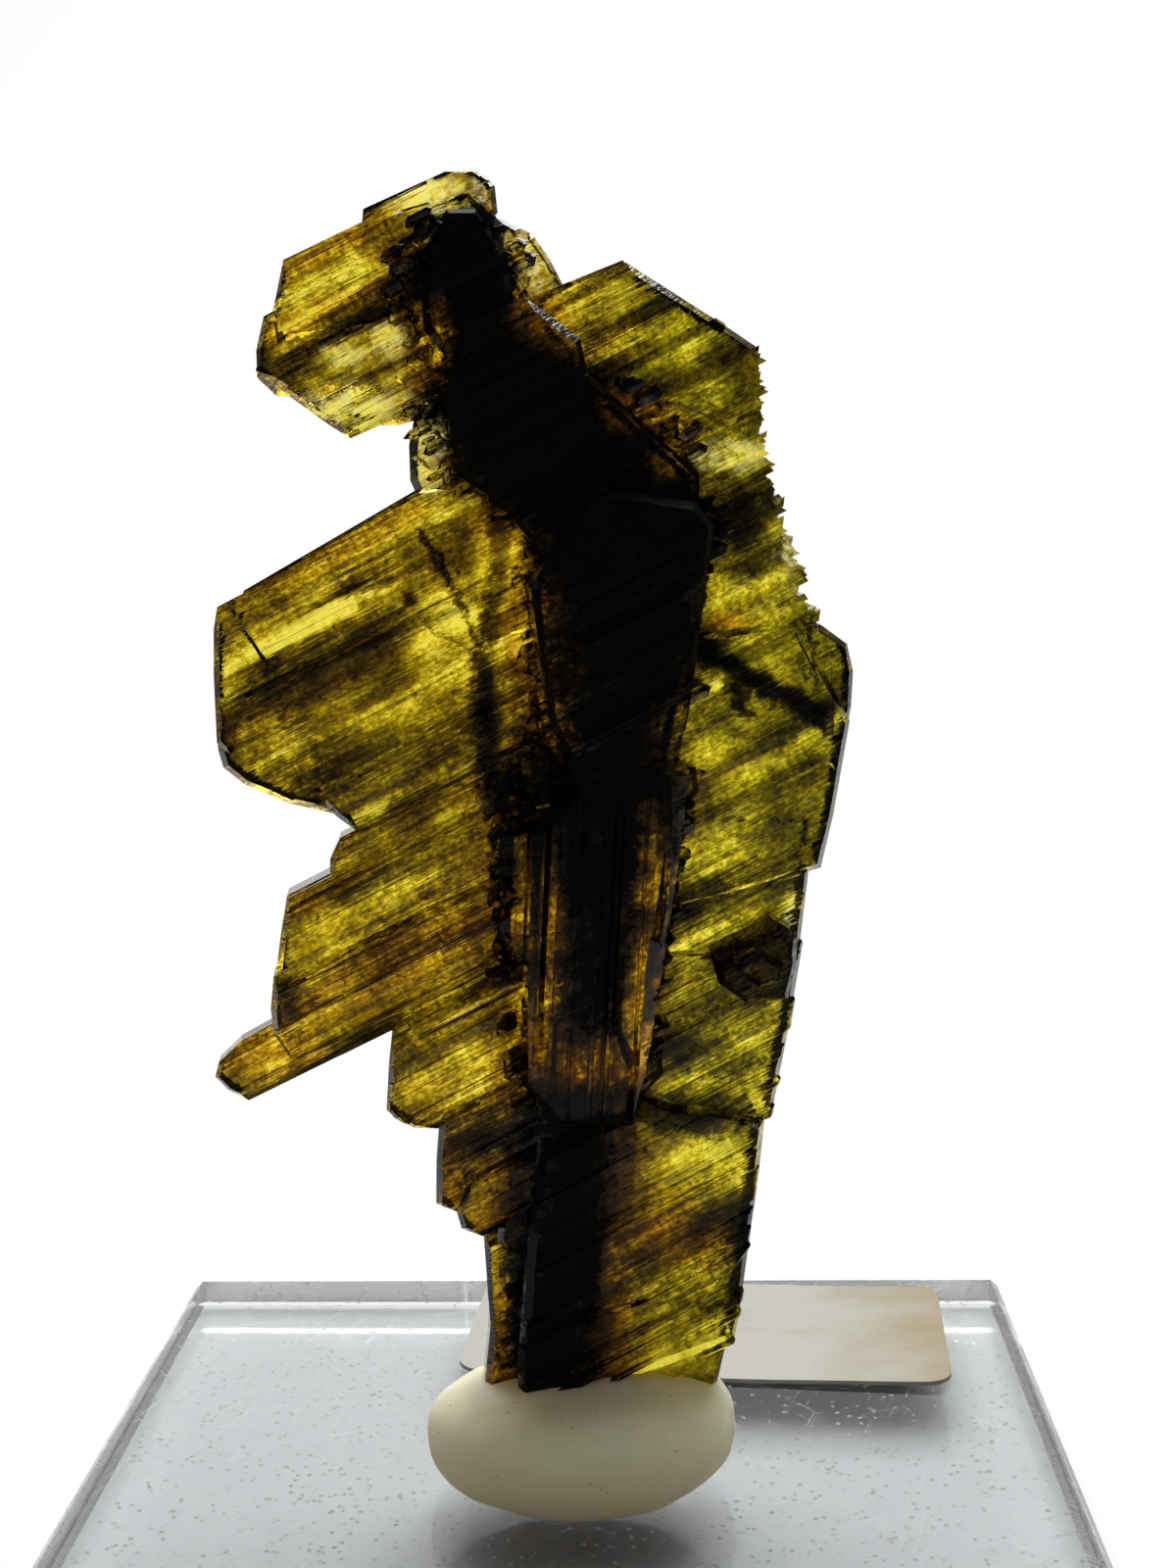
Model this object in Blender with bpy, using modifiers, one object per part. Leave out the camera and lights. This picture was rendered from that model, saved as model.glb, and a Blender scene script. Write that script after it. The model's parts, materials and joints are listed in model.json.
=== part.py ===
"""Epidote crystal standing in white putty on a clear acrylic display plate.

The mineral is a parallel growth: flat crystals that share one striation direction, joined along a thick dark
spine. Its blade is turned by BLADE_YAW, so the right side stands a little further back.

Lengths are written in millimetres and scaled once, by MM. +Z is up, +X is right and -Y faces the viewer. The
origin is the middle of the plate's underside.
"""

import collections
import math
import random

import bmesh
import bpy
from mathutils import Matrix, Vector

MM = 0.001

# The display plate, the putty pad and the paper label
PLATE_SIDE = 50.0
PLATE_THICK = 5.0
PLATE_EDGE = 0.4
PUTTY_SIZE = (15.2, 10.8, 6.9)
PUTTY_CENTRE = (0.4, -0.3)
PUTTY_FOOT_CUT = 1.2
PUTTY_FULLNESS = (0.62, 0.86)
PUTTY_TILT = -2.5
LABEL_SIZE = (27.4, 12.9, 0.3)
LABEL_CENTRE = (6.9, 17.0)
LABEL_TURN = -3.5
LABEL_CORNER = 1.3
GAP = 0.3

# Crystal directions in the plane of the blade, in degrees from +X
STRIATION = 26.0
STEEP_END = 91.0
SLOPING_END = -34.0

# How far each kind of face leans from the plane of the blade, and how deep into the thickness it reaches
PRISM_LEAN = 34.0
PRISM_DEPTH = 0.26
END_LEAN = 60.0
END_DEPTH = 0.36
PRISM_SPREAD = 10.0

BLADE_YAW = 8.0
ROOT_Z = 8.0
ROOT_SPLIT_X = -2.75
ROOT_SPLIT_Y = -1.75
MISFIT = 0.6
SEED = 11
CUT_SNAP = 0.005

# One flat crystal: its corners as (x, z), and the y of its front and back faces
Crystal = collections.namedtuple("Crystal", "corners front back")

HEAD = [
    Crystal([(-8.4, 65.6), (-8.3, 66.4), (-4.6, 68.0), (-3.3, 68.1), (-2.4, 67.4), (-2.3, 66.2), (-4.6, 64.3),
             (-7.5, 64.1)], -1.1, 0.8),
    Crystal([(-11.9, 64.2), (-8.4, 65.8), (-3.6, 67.1), (-2.0, 65.6), (-2.4, 61.6), (-12.3, 60.5), (-12.5, 61.8)],
            -1.5, 1.2),
    Crystal([(-12.9, 61.8), (-12.3, 62.1), (-2.6, 66.0), (-1.4, 61.2), (-3.0, 58.6), (-12.5, 58.3), (-13.3, 59.1),
             (-13.3, 60.3)], -1.0, 1.6),
    Crystal([(-13.3, 59.5), (-13.3, 59.0), (-10.1, 56.9), (-9.3, 56.3), (-3.4, 58.8), (-1.8, 62.4), (-6.9, 62.5)],
            -1.7, 1.0),
    Crystal([(-9.9, 57.5), (-7.9, 56.9), (-7.1, 56.9), (-6.2, 57.1), (-2.4, 59.4), (-4.4, 61.0)], -1.2, 1.5),
    Crystal([(-2.8, 66.0), (-2.1, 66.1), (-0.6, 65.3), (0.1, 64.3), (0.7, 63.1), (0.6, 62.2), (-1.0, 60.0),
             (-3.2, 61.2)], 0.1, 2.1),
    Crystal([(-6.3, 57.3), (-6.6, 56.0), (-6.6, 54.4), (-6.3, 53.7), (-2.6, 53.4), (-0.8, 57.0), (-3.0, 60.2),
             (-5.4, 58.6)], -1.3, 1.4),
    Crystal([(-6.4, 56.6), (-6.5, 55.4), (-5.6, 54.8), (-4.6, 55.1), (-4.5, 56.0), (-5.4, 56.7)], -1.9, 0.4),
]

WING = [
    Crystal([(-14.3, 49.6), (-6.3, 54.0), (-2.6, 55.8), (1.8, 55.0), (2.0, 47.6), (-13.5, 45.8), (-14.9, 48.1)],
            -1.4, 1.3),
    Crystal([(-15.5, 48.9), (-14.3, 49.5), (0.0, 54.4), (1.6, 48.8), (-15.3, 42.1), (-15.8, 42.7), (-15.8, 45.8),
             (-15.7, 47.9)], -1.8, 1.0),
    Crystal([(-15.8, 44.6), (-15.8, 42.3), (-15.6, 41.5), (-14.7, 40.7), (-12.6, 39.7), (-10.4, 39.1), (1.6, 44.2),
             (1.6, 51.0)], -1.3, 1.6),
    Crystal([(-12.2, 40.8), (-10.4, 39.0), (-9.5, 38.3), (1.4, 42.6), (1.4, 46.2)], -1.7, 1.1),
]

LEFT_STEPS = [
    Crystal([(-10.4, 38.0), (-10.9, 37.0), (-11.0, 34.7), (1.2, 40.2), (1.2, 43.5)], -1.2, 1.5),
    Crystal([(-10.7, 36.5), (-13.0, 35.4), (-13.3, 33.6), (-13.8, 31.1), (-13.7, 30.3), (1.2, 36.4), (1.2, 41.8)],
            -1.6, 1.2),
    Crystal([(-13.7, 31.7), (-13.9, 30.1), (-13.8, 28.9), (-13.0, 27.6), (-7.1, 30.0), (1.0, 33.6), (1.0, 38.0)],
            -1.9, 0.9),
    Crystal([(-12.8, 29.5), (-15.5, 28.1), (-16.6, 27.1), (-16.8, 26.4), (-16.2, 25.7), (-15.2, 25.1), (-8.1, 28.4),
             (-2.6, 30.9), (-2.6, 34.1)], 0.2, 2.2),
    Crystal([(-8.3, 28.5), (-8.5, 27.0), (-8.7, 24.7), (-8.3, 24.2), (-7.4, 23.7), (-6.3, 23.6), (0.6, 26.2),
             (0.6, 32.8)], -0.9, 1.5),
    Crystal([(-7.2, 29.8), (-7.4, 28.1), (-7.1, 27.8), (-2.2, 29.9), (0.6, 31.4), (0.6, 33.4)], -1.7, 0.8),
    Crystal([(-6.3, 24.7), (-6.4, 22.0), (-6.6, 20.0), (-5.4, 19.4), (-1.6, 20.5), (0.4, 23.2), (0.4, 27.8)],
            -1.1, 1.2),
    Crystal([(-4.6, 21.7), (-5.2, 20.8), (-5.5, 19.6), (-5.3, 18.8), (-4.2, 18.3), (-3.5, 18.7), (0.0, 20.2),
             (-0.4, 23.4)], -1.6, 0.6),
    Crystal([(-3.4, 19.8), (-3.6, 17.9), (-2.4, 17.1), (0.6, 17.2), (0.6, 21.4), (-1.4, 21.0)], -1.3, 1.0),
    Crystal([(-4.5, 17.6), (-3.7, 18.2), (0.2, 19.4), (0.2, 10.4), (-3.9, 10.9), (-4.0, 13.2)], -0.4, 1.7),
    Crystal([(-4.0, 13.6), (-4.4, 10.3), (-4.5, 8.2), (0.2, 7.9), (0.2, 14.6)], -0.8, 1.4),
]

RIGHT_BLADE = [
    Crystal([(-1.4, 62.3), (0.7, 63.1), (3.3, 64.1), (7.9, 61.2), (9.7, 60.0), (9.8, 56.0), (4.6, 51.6), (-2.2, 52.0)],
            -1.2, 1.7),
    Crystal([(-1.6, 55.4), (9.7, 60.1), (10.1, 58.5), (10.0, 55.4), (10.4, 52.9), (3.4, 48.0), (-1.8, 48.6)], -1.6, 1.3),
    Crystal([(-1.4, 50.6), (10.2, 54.8), (11.0, 51.6), (11.6, 49.5), (11.8, 46.5), (4.0, 42.9), (-1.4, 43.6)],
            -1.3, 1.6),
    Crystal([(4.6, 46.3), (10.0, 48.5), (12.5, 47.3), (13.7, 46.4), (14.0, 45.1), (13.9, 43.4), (13.3, 40.3),
             (4.6, 38.3)], -1.0, 1.2),
    Crystal([(-1.2, 46.4), (11.2, 47.7), (13.7, 42.8), (12.9, 38.3), (12.3, 35.8), (-1.4, 32.4)], -1.7, 1.4),
    Crystal([(-1.4, 38.6), (12.8, 38.1), (11.9, 34.3), (11.2, 31.0), (11.0, 29.4), (-1.4, 26.1)], -1.4, 1.7),
    Crystal([(-1.4, 32.0), (11.4, 32.2), (10.7, 28.1), (9.8, 23.6), (-1.4, 19.5)], -1.8, 1.3),
]

BOTTOM_BLOCK = [
    Crystal([(-1.4, 23.3), (3.2, 25.3), (9.5, 23.8), (9.0, 20.7), (8.7, 17.9), (6.9, 15.4), (-2.5, 14.3), (-2.1, 19.1)],
            -2.6, 1.5),
    Crystal([(-2.1, 18.7), (2.8, 20.6), (8.8, 18.9), (8.1, 13.9), (7.8, 12.4), (-2.8, 9.2), (-2.8, 12.2)], -2.2, 1.2),
    Crystal([(-2.6, 14.5), (8.1, 14.1), (7.4, 11.4), (6.8, 9.1), (6.4, 7.4), (-2.6, 8.1), (-2.8, 10.2)], -1.7, 1.6),
]

SPINE = [
    Crystal([(-4.7, 66.0), (-2.3, 66.0), (-2.1, 64.2), (-1.3, 63.1), (-1.6, 61.8), (-3.0, 60.2), (-4.8, 59.6),
             (-5.8, 60.9), (-5.9, 62.5), (-5.4, 64.3)], -3.9, 1.6),
    Crystal([(-4.2, 61.2), (-1.4, 62.2), (1.0, 60.4), (1.8, 56.4), (-2.0, 52.8), (-4.6, 54.6), (-5.0, 58.0)],
            -4.5, 2.0),
    Crystal([(0.2, 60.0), (1.4, 58.9), (3.1, 58.3), (6.0, 56.4), (6.3, 55.5), (6.2, 51.6), (0.6, 49.2), (-2.0, 52.4),
             (-2.2, 57.4)], -4.1, 2.4),
    Crystal([(1.2, 54.0), (5.9, 53.2), (6.7, 52.2), (6.5, 49.6), (5.8, 45.9), (5.0, 40.5), (0.8, 39.6), (-0.8, 43.8),
             (-1.5, 49.6)], -5.3, 2.2),
    Crystal([(1.0, 41.0), (4.2, 41.5), (5.5, 40.9), (5.3, 38.5), (4.2, 31.8), (3.4, 27.2), (2.7, 24.5), (-0.8, 24.8),
             (-2.1, 26.7), (-2.0, 32.1), (-1.6, 38.4)], -4.7, 2.6),
    Crystal([(-3.1, 38.1), (-1.4, 38.8), (0.0, 38.0), (0.0, 31.6), (-3.3, 30.7), (-3.4, 31.5)], -2.5, 1.8),
    Crystal([(-3.8, 41.7), (-1.4, 42.8), (0.2, 41.6), (0.2, 39.4), (-3.6, 38.9), (-3.9, 39.3)], -2.3, 1.2),
    Crystal([(-1.2, 28.8), (2.4, 29.1), (3.6, 25.4), (3.0, 18.8), (1.8, 10.9), (-1.2, 9.5), (-2.0, 17.1)], -2.2, 3.2),
]

SMALL_FRONT = [
    Crystal([(6.7, 32.3), (9.7, 33.7), (10.9, 32.9), (10.8, 31.3), (10.4, 29.8), (8.4, 29.7), (7.1, 30.7)], -3.0, 0.0),
    Crystal([(7.8, 32.4), (8.7, 32.6), (10.1, 31.7), (9.8, 30.8), (8.9, 30.6), (7.6, 31.6)], -3.7, 0.0),
    Crystal([(4.7, 41.1), (6.1, 41.1), (6.2, 39.9), (5.7, 39.4), (4.7, 39.8)], -3.3, 0.0),
    Crystal([(2.7, 27.5), (4.3, 28.2), (4.4, 26.4), (3.1, 25.1), (2.3, 25.9)], -3.0, 0.0),
]

# Crystals that carry ledges, with how many on the front and on the back
LEDGED = [
    (HEAD[1], 2, 2), (HEAD[2], 3, 2), (HEAD[3], 3, 2), (WING[0], 2, 2), (WING[1], 4, 3), (WING[2], 4, 3),
    (LEFT_STEPS[1], 3, 3), (LEFT_STEPS[2], 3, 2), (LEFT_STEPS[4], 2, 2), (LEFT_STEPS[6], 2, 1),
    (RIGHT_BLADE[0], 3, 3), (RIGHT_BLADE[1], 2, 3), (RIGHT_BLADE[2], 2, 3), (RIGHT_BLADE[4], 4, 4),
    (RIGHT_BLADE[5], 4, 4), (RIGHT_BLADE[6], 3, 3), (BOTTOM_BLOCK[0], 3, 2), (BOTTOM_BLOCK[1], 4, 3),
]

# Broken edges as (first, last, teeth): a row of small crystal ends runs from the first point to the last
RAGGED_EDGES = [
    ((9.8, 59.9), (9.9, 55.0), 6),
    ((9.9, 54.8), (11.1, 51.2), 5),
    ((11.1, 51.4), (12.2, 47.5), 6),
    ((-1.2, 65.4), (0.6, 62.4), 4),
]
TOOTH_REACH = 0.55
TOOTH_BACK = 3.0


def clear_scene():
    for obj in list(bpy.data.objects):
        bpy.data.objects.remove(obj, do_unlink=True)


def new_collection(name):
    collection = bpy.data.collections.new(name)
    bpy.context.scene.collection.children.link(collection)
    return collection


def principled(name, color, roughness, transmission=0.0):
    material = bpy.data.materials.new(name)
    material.use_nodes = True
    shader = material.node_tree.nodes["Principled BSDF"]
    shader.inputs["Base Color"].default_value = (*color, 1.0)
    shader.inputs["Roughness"].default_value = roughness
    shader.inputs["Metallic"].default_value = 0.0
    shader.inputs["Transmission Weight"].default_value = transmission
    return material


def new_object(name, mesh, collection, material=None):
    obj = bpy.data.objects.new(name, mesh)
    collection.objects.link(obj)
    if material:
        mesh.materials.append(material)
    return obj


def mesh_from(bm, name):
    bmesh.ops.recalc_face_normals(bm, faces=bm.faces[:])
    mesh = bpy.data.meshes.new(name)
    bm.to_mesh(mesh)
    bm.free()
    return mesh


def in_plane(angle):
    """The unit vector at this many degrees from +X in the plane of the blade."""
    return Vector((math.cos(math.radians(angle)), 0.0, math.sin(math.radians(angle))))


def slice_off(bm, point, normal):
    """Cut away what lies outside a plane, and close the cut with one flat face."""
    bmesh.ops.bisect_plane(bm, geom=bm.verts[:] + bm.edges[:] + bm.faces[:], dist=CUT_SNAP * MM, plane_co=point,
                           plane_no=normal, clear_outer=True)
    bmesh.ops.remove_doubles(bm, verts=bm.verts[:], dist=CUT_SNAP * MM)
    rim = [edge for edge in bm.edges if edge.is_boundary]
    if rim:
        bmesh.ops.holes_fill(bm, edges=rim, sides=0)


def block(low, high):
    """A closed block between two corners given in millimetres."""
    low, high = Vector(low) * MM, Vector(high) * MM
    bm = bmesh.new()
    size = Matrix.Diagonal((*(high - low), 1.0))
    bmesh.ops.create_cube(bm, size=1.0, matrix=Matrix.Translation((low + high) / 2) @ size)
    return bm


def face_lean(outward):
    """(lean, depth) of the faces beside an edge of the outline: flat along the striations, steep at the ends."""
    along = math.degrees(math.atan2(outward.z, outward.x)) - 90.0
    off = abs((along - STRIATION + 90.0) % 180.0 - 90.0)
    return (PRISM_LEAN, PRISM_DEPTH) if off < PRISM_SPREAD else (END_LEAN, END_DEPTH)


def cut_crystal(crystal, extra_cuts=()):
    """Slice a block along every face of a crystal, and along the extra planes, given as (point, normal)."""
    xs = [x for x, z in crystal.corners]
    zs = [z for x, z in crystal.corners]
    bm = block((min(xs), crystal.front, min(zs)), (max(xs), crystal.back, max(zs)))
    thick = (crystal.back - crystal.front) * MM
    middle = Vector((sum(xs) / len(xs), 0.0, sum(zs) / len(zs))) * MM
    corners = [Vector((x, 0.0, z)) * MM for x, z in crystal.corners]
    toward, away = Vector((0.0, -1.0, 0.0)), Vector((0.0, 1.0, 0.0))
    for first, second in zip(corners, corners[1:] + corners[:1]):
        outward = (second - first).cross(away).normalized()
        if outward.dot(first - middle) < 0.0:
            outward.negate()
        slice_off(bm, first, outward)
        lean, depth = face_lean(outward)
        rise, run = math.cos(math.radians(lean)), math.sin(math.radians(lean))
        for side, face_y in ((toward, crystal.front), (away, crystal.back)):
            on_rim = Vector((first.x, face_y * MM, first.z)) - side * depth * thick
            slice_off(bm, on_rim, outward * run + side * rise)
    for point, normal in extra_cuts:
        slice_off(bm, point, normal)
    return bm


def ledges(parent, on_front, on_back, dice):
    """Thin raised laths along the striations of a crystal, each ending in a steep or a sloping step."""
    along, across = in_plane(STRIATION), in_plane(STRIATION + 90.0)
    corners = [Vector((x, 0.0, z)) for x, z in parent.corners]
    widths = [corner.dot(across) for corner in corners]
    lengths = [corner.dot(along) for corner in corners]
    low, span = min(widths), max(widths) - min(widths)
    start, reach = min(lengths), max(lengths) - min(lengths)
    middle = Vector((sum(c.x for c in corners), 0.0, sum(c.z for c in corners))) / len(corners)
    made = []
    for count, front in ((on_front, True), (on_back, False)):
        for step in range(count):
            centre = low + span * (step + dice.uniform(0.35, 0.75)) / count
            half = dice.uniform(0.25, 0.75)
            rise = dice.uniform(0.14, 0.34)
            inset = dice.uniform(0.93, 0.975)
            shrunk = [tuple(middle.xz + (corner.xz - middle.xz) * inset) for corner in corners]
            if front:
                lath = Crystal(shrunk, parent.front - rise, parent.front + 1.2)
            else:
                lath = Crystal(shrunk, parent.back - 1.2, parent.back + rise)
            end = in_plane(dice.choice((STEEP_END, SLOPING_END)) + 90.0)
            if end.dot(along) > 0.0:
                end.negate()
            stop = along * (start + reach * dice.uniform(0.04, 0.5)) + across * centre
            cuts = [
                (across * (centre + half) * MM, across),
                (across * (centre - half) * MM, -across),
                (stop * MM, end),
            ]
            made.append((lath, cuts))
    return made


def ragged_edge(first, last, teeth, dice):
    """Small crystal ends of uneven reach along a broken edge."""
    first, last = Vector((first[0], 0.0, first[1])), Vector((last[0], 0.0, last[1]))
    along, across = in_plane(STRIATION), in_plane(STRIATION + 90.0)
    pitch = (last - first).length / teeth
    made = []
    for tooth in range(teeth):
        tip = first.lerp(last, (tooth + 0.5) / teeth) + along * dice.uniform(-0.1, TOOTH_REACH)
        heel = tip - along * TOOTH_BACK
        half = pitch * dice.uniform(0.5, 0.8)
        notch = tip - along * dice.uniform(0.2, 0.5)
        corners = [notch + across * half, tip + across * half * 0.3, tip - across * half, heel - across * half,
                   heel + across * half]
        depth = dice.uniform(0.5, 1.1)
        made.append(Crystal([(corner.x, corner.z) for corner in corners], -depth, depth + 0.2))
    return made


def tip_slightly(bm, dice):
    """Turn one crystal of the growth by up to MISFIT degrees about its own middle."""
    middle = sum((vert.co for vert in bm.verts), Vector()) / len(bm.verts)
    turn = Matrix.Identity(3)
    for axis in "XYZ":
        turn = turn @ Matrix.Rotation(math.radians(dice.uniform(-MISFIT, MISFIT)), 3, axis)
    bmesh.ops.rotate(bm, cent=middle, matrix=turn, verts=bm.verts[:])


def crystal_growth(dice):
    """Every single crystal of the growth as a closed bmesh."""
    grown = []
    for crystal in HEAD + WING + LEFT_STEPS + RIGHT_BLADE + BOTTOM_BLOCK + SPINE + SMALL_FRONT:
        grown.append(cut_crystal(crystal))
    for parent, on_front, on_back in LEDGED:
        for lath, cuts in ledges(parent, on_front, on_back, dice):
            grown.append(cut_crystal(lath, cuts))
    for first, last, teeth in RAGGED_EDGES:
        for tooth in ragged_edge(first, last, teeth, dice):
            grown.append(cut_crystal(tooth))
    return [bm for bm in grown if len(bm.faces) > 3]


def make_crystal(parts, ingredients):
    """The whole mineral as one solid, its crystals joined and its root cut flat inside the putty."""
    dice = random.Random(SEED)
    base = None
    yaw = Matrix.Rotation(math.radians(BLADE_YAW), 3, "Z")
    for index, bm in enumerate(crystal_growth(dice)):
        tip_slightly(bm, dice)
        bmesh.ops.rotate(bm, cent=(0.0, 0.0, 0.0), matrix=yaw, verts=bm.verts[:])
        slice_off(bm, Vector((0.0, 0.0, ROOT_Z * MM)), Vector((0.0, 0.0, -1.0)))
        mesh = mesh_from(bm, f"single_crystal_{index:03d}")
        if base is None:
            epidote = principled("epidote", (0.33, 0.3, 0.03), 0.12, 0.9)
            base = new_object("epidote_crystal", mesh, parts, epidote)
            continue
        single = new_object(mesh.name, mesh, ingredients)
        single.hide_render = True
        single.display_type = "WIRE"
    join = base.modifiers.new("join_crystals", "BOOLEAN")
    join.operation = "UNION"
    join.operand_type = "COLLECTION"
    join.collection = ingredients
    join.solver = "EXACT"
    return base


def make_plate(parts):
    """The square acrylic plate, with its sharp edges just broken."""
    half = PLATE_SIDE / 2
    mesh = mesh_from(block((-half, -half, 0.0), (half, half, PLATE_THICK)), "acrylic_plate")
    plate = new_object("acrylic_plate", mesh, parts, principled("clear_acrylic", (0.9, 0.92, 0.93), 0.15, 0.9))
    bevel = plate.modifiers.new("broken_edges", "BEVEL")
    bevel.width = PLATE_EDGE * MM
    bevel.segments = 1
    bevel.limit_method = "ANGLE"
    return plate


def grown_hull(points, name, helpers):
    """The hull of some points, grown by GAP all round, as a hidden cutter."""
    bm = bmesh.new()
    for point in points:
        for corner in range(8):
            shift = [GAP * MM if corner >> axis & 1 else -GAP * MM for axis in range(3)]
            bm.verts.new(point + Vector(shift))
    hull = bmesh.ops.convex_hull(bm, input=bm.verts[:])
    spare = {part for part in hull["geom_interior"] + hull["geom_unused"] if isinstance(part, bmesh.types.BMVert)}
    bmesh.ops.delete(bm, geom=list(spare), context="VERTS")
    bmesh.ops.dissolve_limit(bm, angle_limit=math.radians(1.0), verts=bm.verts[:], edges=bm.edges[:])
    cutter = new_object(name, mesh_from(bm, name), helpers)
    cutter.hide_render = True
    cutter.display_type = "WIRE"


def root_sockets(crystal, helpers):
    """The room that the root takes in the putty: one hull for its block, and one for the sliver on its left."""
    graph = bpy.context.evaluated_depsgraph_get()
    bm = bmesh.new()
    bm.from_mesh(crystal.evaluated_get(graph).data)
    slice_off(bm, Vector((0.0, 0.0, (PLATE_THICK + PUTTY_SIZE[2] + GAP) * MM)), Vector((0.0, 0.0, 1.0)))
    points = [vert.co.copy() for vert in bm.verts]
    bm.free()
    grown_hull([point for point in points if point.x > ROOT_SPLIT_X * MM], "block_socket", helpers)
    grown_hull([point for point in points if point.y > ROOT_SPLIT_Y * MM], "sliver_socket", helpers)


def make_putty(parts, sockets):
    """A pressed ball of putty: a flattened ball with a flat foot and a hole for the root."""
    width, depth, height = PUTTY_SIZE
    bm = bmesh.new()
    bmesh.ops.create_uvsphere(bm, u_segments=40, v_segments=20, radius=0.5 * MM)
    for vert in bm.verts:
        level = vert.co.z / (0.5 * MM)
        vert.co.z = math.copysign(abs(level) ** PUTTY_FULLNESS[level < 0.0], level) * 0.5 * MM
    bmesh.ops.scale(bm, vec=(width, depth, height), verts=bm.verts[:])
    tilt = Matrix.Rotation(math.radians(PUTTY_TILT), 3, "Y")
    bmesh.ops.rotate(bm, cent=(0.0, 0.0, 0.0), matrix=tilt, verts=bm.verts[:])
    foot = PLATE_THICK + GAP
    rise = foot + height / 2 - PUTTY_FOOT_CUT
    bmesh.ops.translate(bm, vec=Vector((*PUTTY_CENTRE, rise)) * MM, verts=bm.verts[:])
    slice_off(bm, Vector((0.0, 0.0, foot * MM)), Vector((0.0, 0.0, -1.0)))
    mesh = mesh_from(bm, "putty")
    mesh.shade_smooth()
    mesh.set_sharp_from_angle(angle=math.radians(35.0))
    putty = new_object("putty", mesh, parts, principled("white_putty", (0.82, 0.8, 0.72), 0.45))
    hole = putty.modifiers.new("root_hole", "BOOLEAN")
    hole.operation = "DIFFERENCE"
    hole.operand_type = "COLLECTION"
    hole.collection = sockets
    hole.solver = "EXACT"
    return putty


def make_label(parts):
    """A blank paper label with rounded corners, lying on the back of the plate."""
    length, width, thick = LABEL_SIZE
    curve = bpy.data.curves.new("paper_label", "CURVE")
    curve.dimensions = "2D"
    curve.fill_mode = "BOTH"
    curve.extrude = thick / 2 * MM
    outline = curve.splines.new("POLY")
    points = []
    for turn, (side_x, side_y) in enumerate(((1, 1), (-1, 1), (-1, -1), (1, -1))):
        for step in range(5):
            angle = math.radians(90.0 * turn + 22.5 * step)
            points.append((side_x * (length / 2 - LABEL_CORNER) + LABEL_CORNER * math.cos(angle),
                           side_y * (width / 2 - LABEL_CORNER) + LABEL_CORNER * math.sin(angle)))
    outline.points.add(len(points) - 1)
    for point, (x, y) in zip(outline.points, points):
        point.co = (x * MM, y * MM, 0.0, 1.0)
    outline.use_cyclic_u = True
    label = new_object("paper_label", curve, parts, principled("aged_paper", (0.72, 0.68, 0.55), 0.8))
    label.location = Vector((*LABEL_CENTRE, PLATE_THICK + GAP + thick / 2)) * MM
    label.rotation_euler.z = math.radians(LABEL_TURN)
    return label


def main():
    clear_scene()
    parts = new_collection("epidote_crystal_specimen")
    ingredients = new_collection("single_crystals")
    sockets = new_collection("cutters")
    make_plate(parts)
    crystal = make_crystal(parts, ingredients)
    bpy.context.view_layer.update()
    root_sockets(crystal, sockets)
    make_putty(parts, sockets)
    make_label(parts)


main()
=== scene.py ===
"""The looks of an epidote crystal in white putty on a clear display plate.

Crystal lengths are written in millimetres in the plane of the blade: x to the right, z up, and y towards the back.
Along means along the striations and across means square to them, both in that plane.
"""

import collections
import json
import math
import random

import bmesh
import bpy
from bpy.props import FloatProperty, FloatVectorProperty, IntProperty, PointerProperty
from mathutils import Matrix, Vector, noise

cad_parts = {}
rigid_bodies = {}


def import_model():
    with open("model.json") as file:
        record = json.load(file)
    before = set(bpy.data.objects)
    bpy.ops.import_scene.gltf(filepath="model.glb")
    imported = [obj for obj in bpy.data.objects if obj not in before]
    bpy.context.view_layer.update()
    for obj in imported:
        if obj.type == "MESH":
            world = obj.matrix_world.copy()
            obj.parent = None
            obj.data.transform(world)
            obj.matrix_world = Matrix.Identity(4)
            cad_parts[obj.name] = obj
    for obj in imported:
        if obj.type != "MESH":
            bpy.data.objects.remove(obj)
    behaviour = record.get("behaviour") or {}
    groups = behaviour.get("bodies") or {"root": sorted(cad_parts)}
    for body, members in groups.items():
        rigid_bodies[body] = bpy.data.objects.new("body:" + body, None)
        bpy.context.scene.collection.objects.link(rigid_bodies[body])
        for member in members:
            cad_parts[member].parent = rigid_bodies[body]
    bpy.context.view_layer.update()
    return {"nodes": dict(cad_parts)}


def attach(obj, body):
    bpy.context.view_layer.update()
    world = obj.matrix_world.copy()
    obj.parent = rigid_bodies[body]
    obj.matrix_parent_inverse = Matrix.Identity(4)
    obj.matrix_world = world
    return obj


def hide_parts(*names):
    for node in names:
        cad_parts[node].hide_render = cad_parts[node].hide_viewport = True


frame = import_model()

bl_info = {
    "name": "Epidote crystal specimen",
    "version": (1, 0, 0),
    "blender": (4, 5, 0),
    "location": "View3D > Sidebar > Specimen",
    "description": "Grows a striated epidote crystal in putty on a clear plate, with its label, light and floor",
    "category": "Object",
}

MM = 0.001
CUT_SNAP = 0.004
PRISM_LEAN = 34.0
PRISM_DEPTH = 0.2
END_LEAN = 60.0
END_DEPTH = 0.2
PRISM_SPREAD = 10.0
BEVEL_MOST = 0.55
STEEP_END = 91.0
SLOPING_END = -34.0
FAR = 90.0
ROOT_Z = 8.0

Crystal = collections.namedtuple("Crystal", "corners front back")

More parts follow.
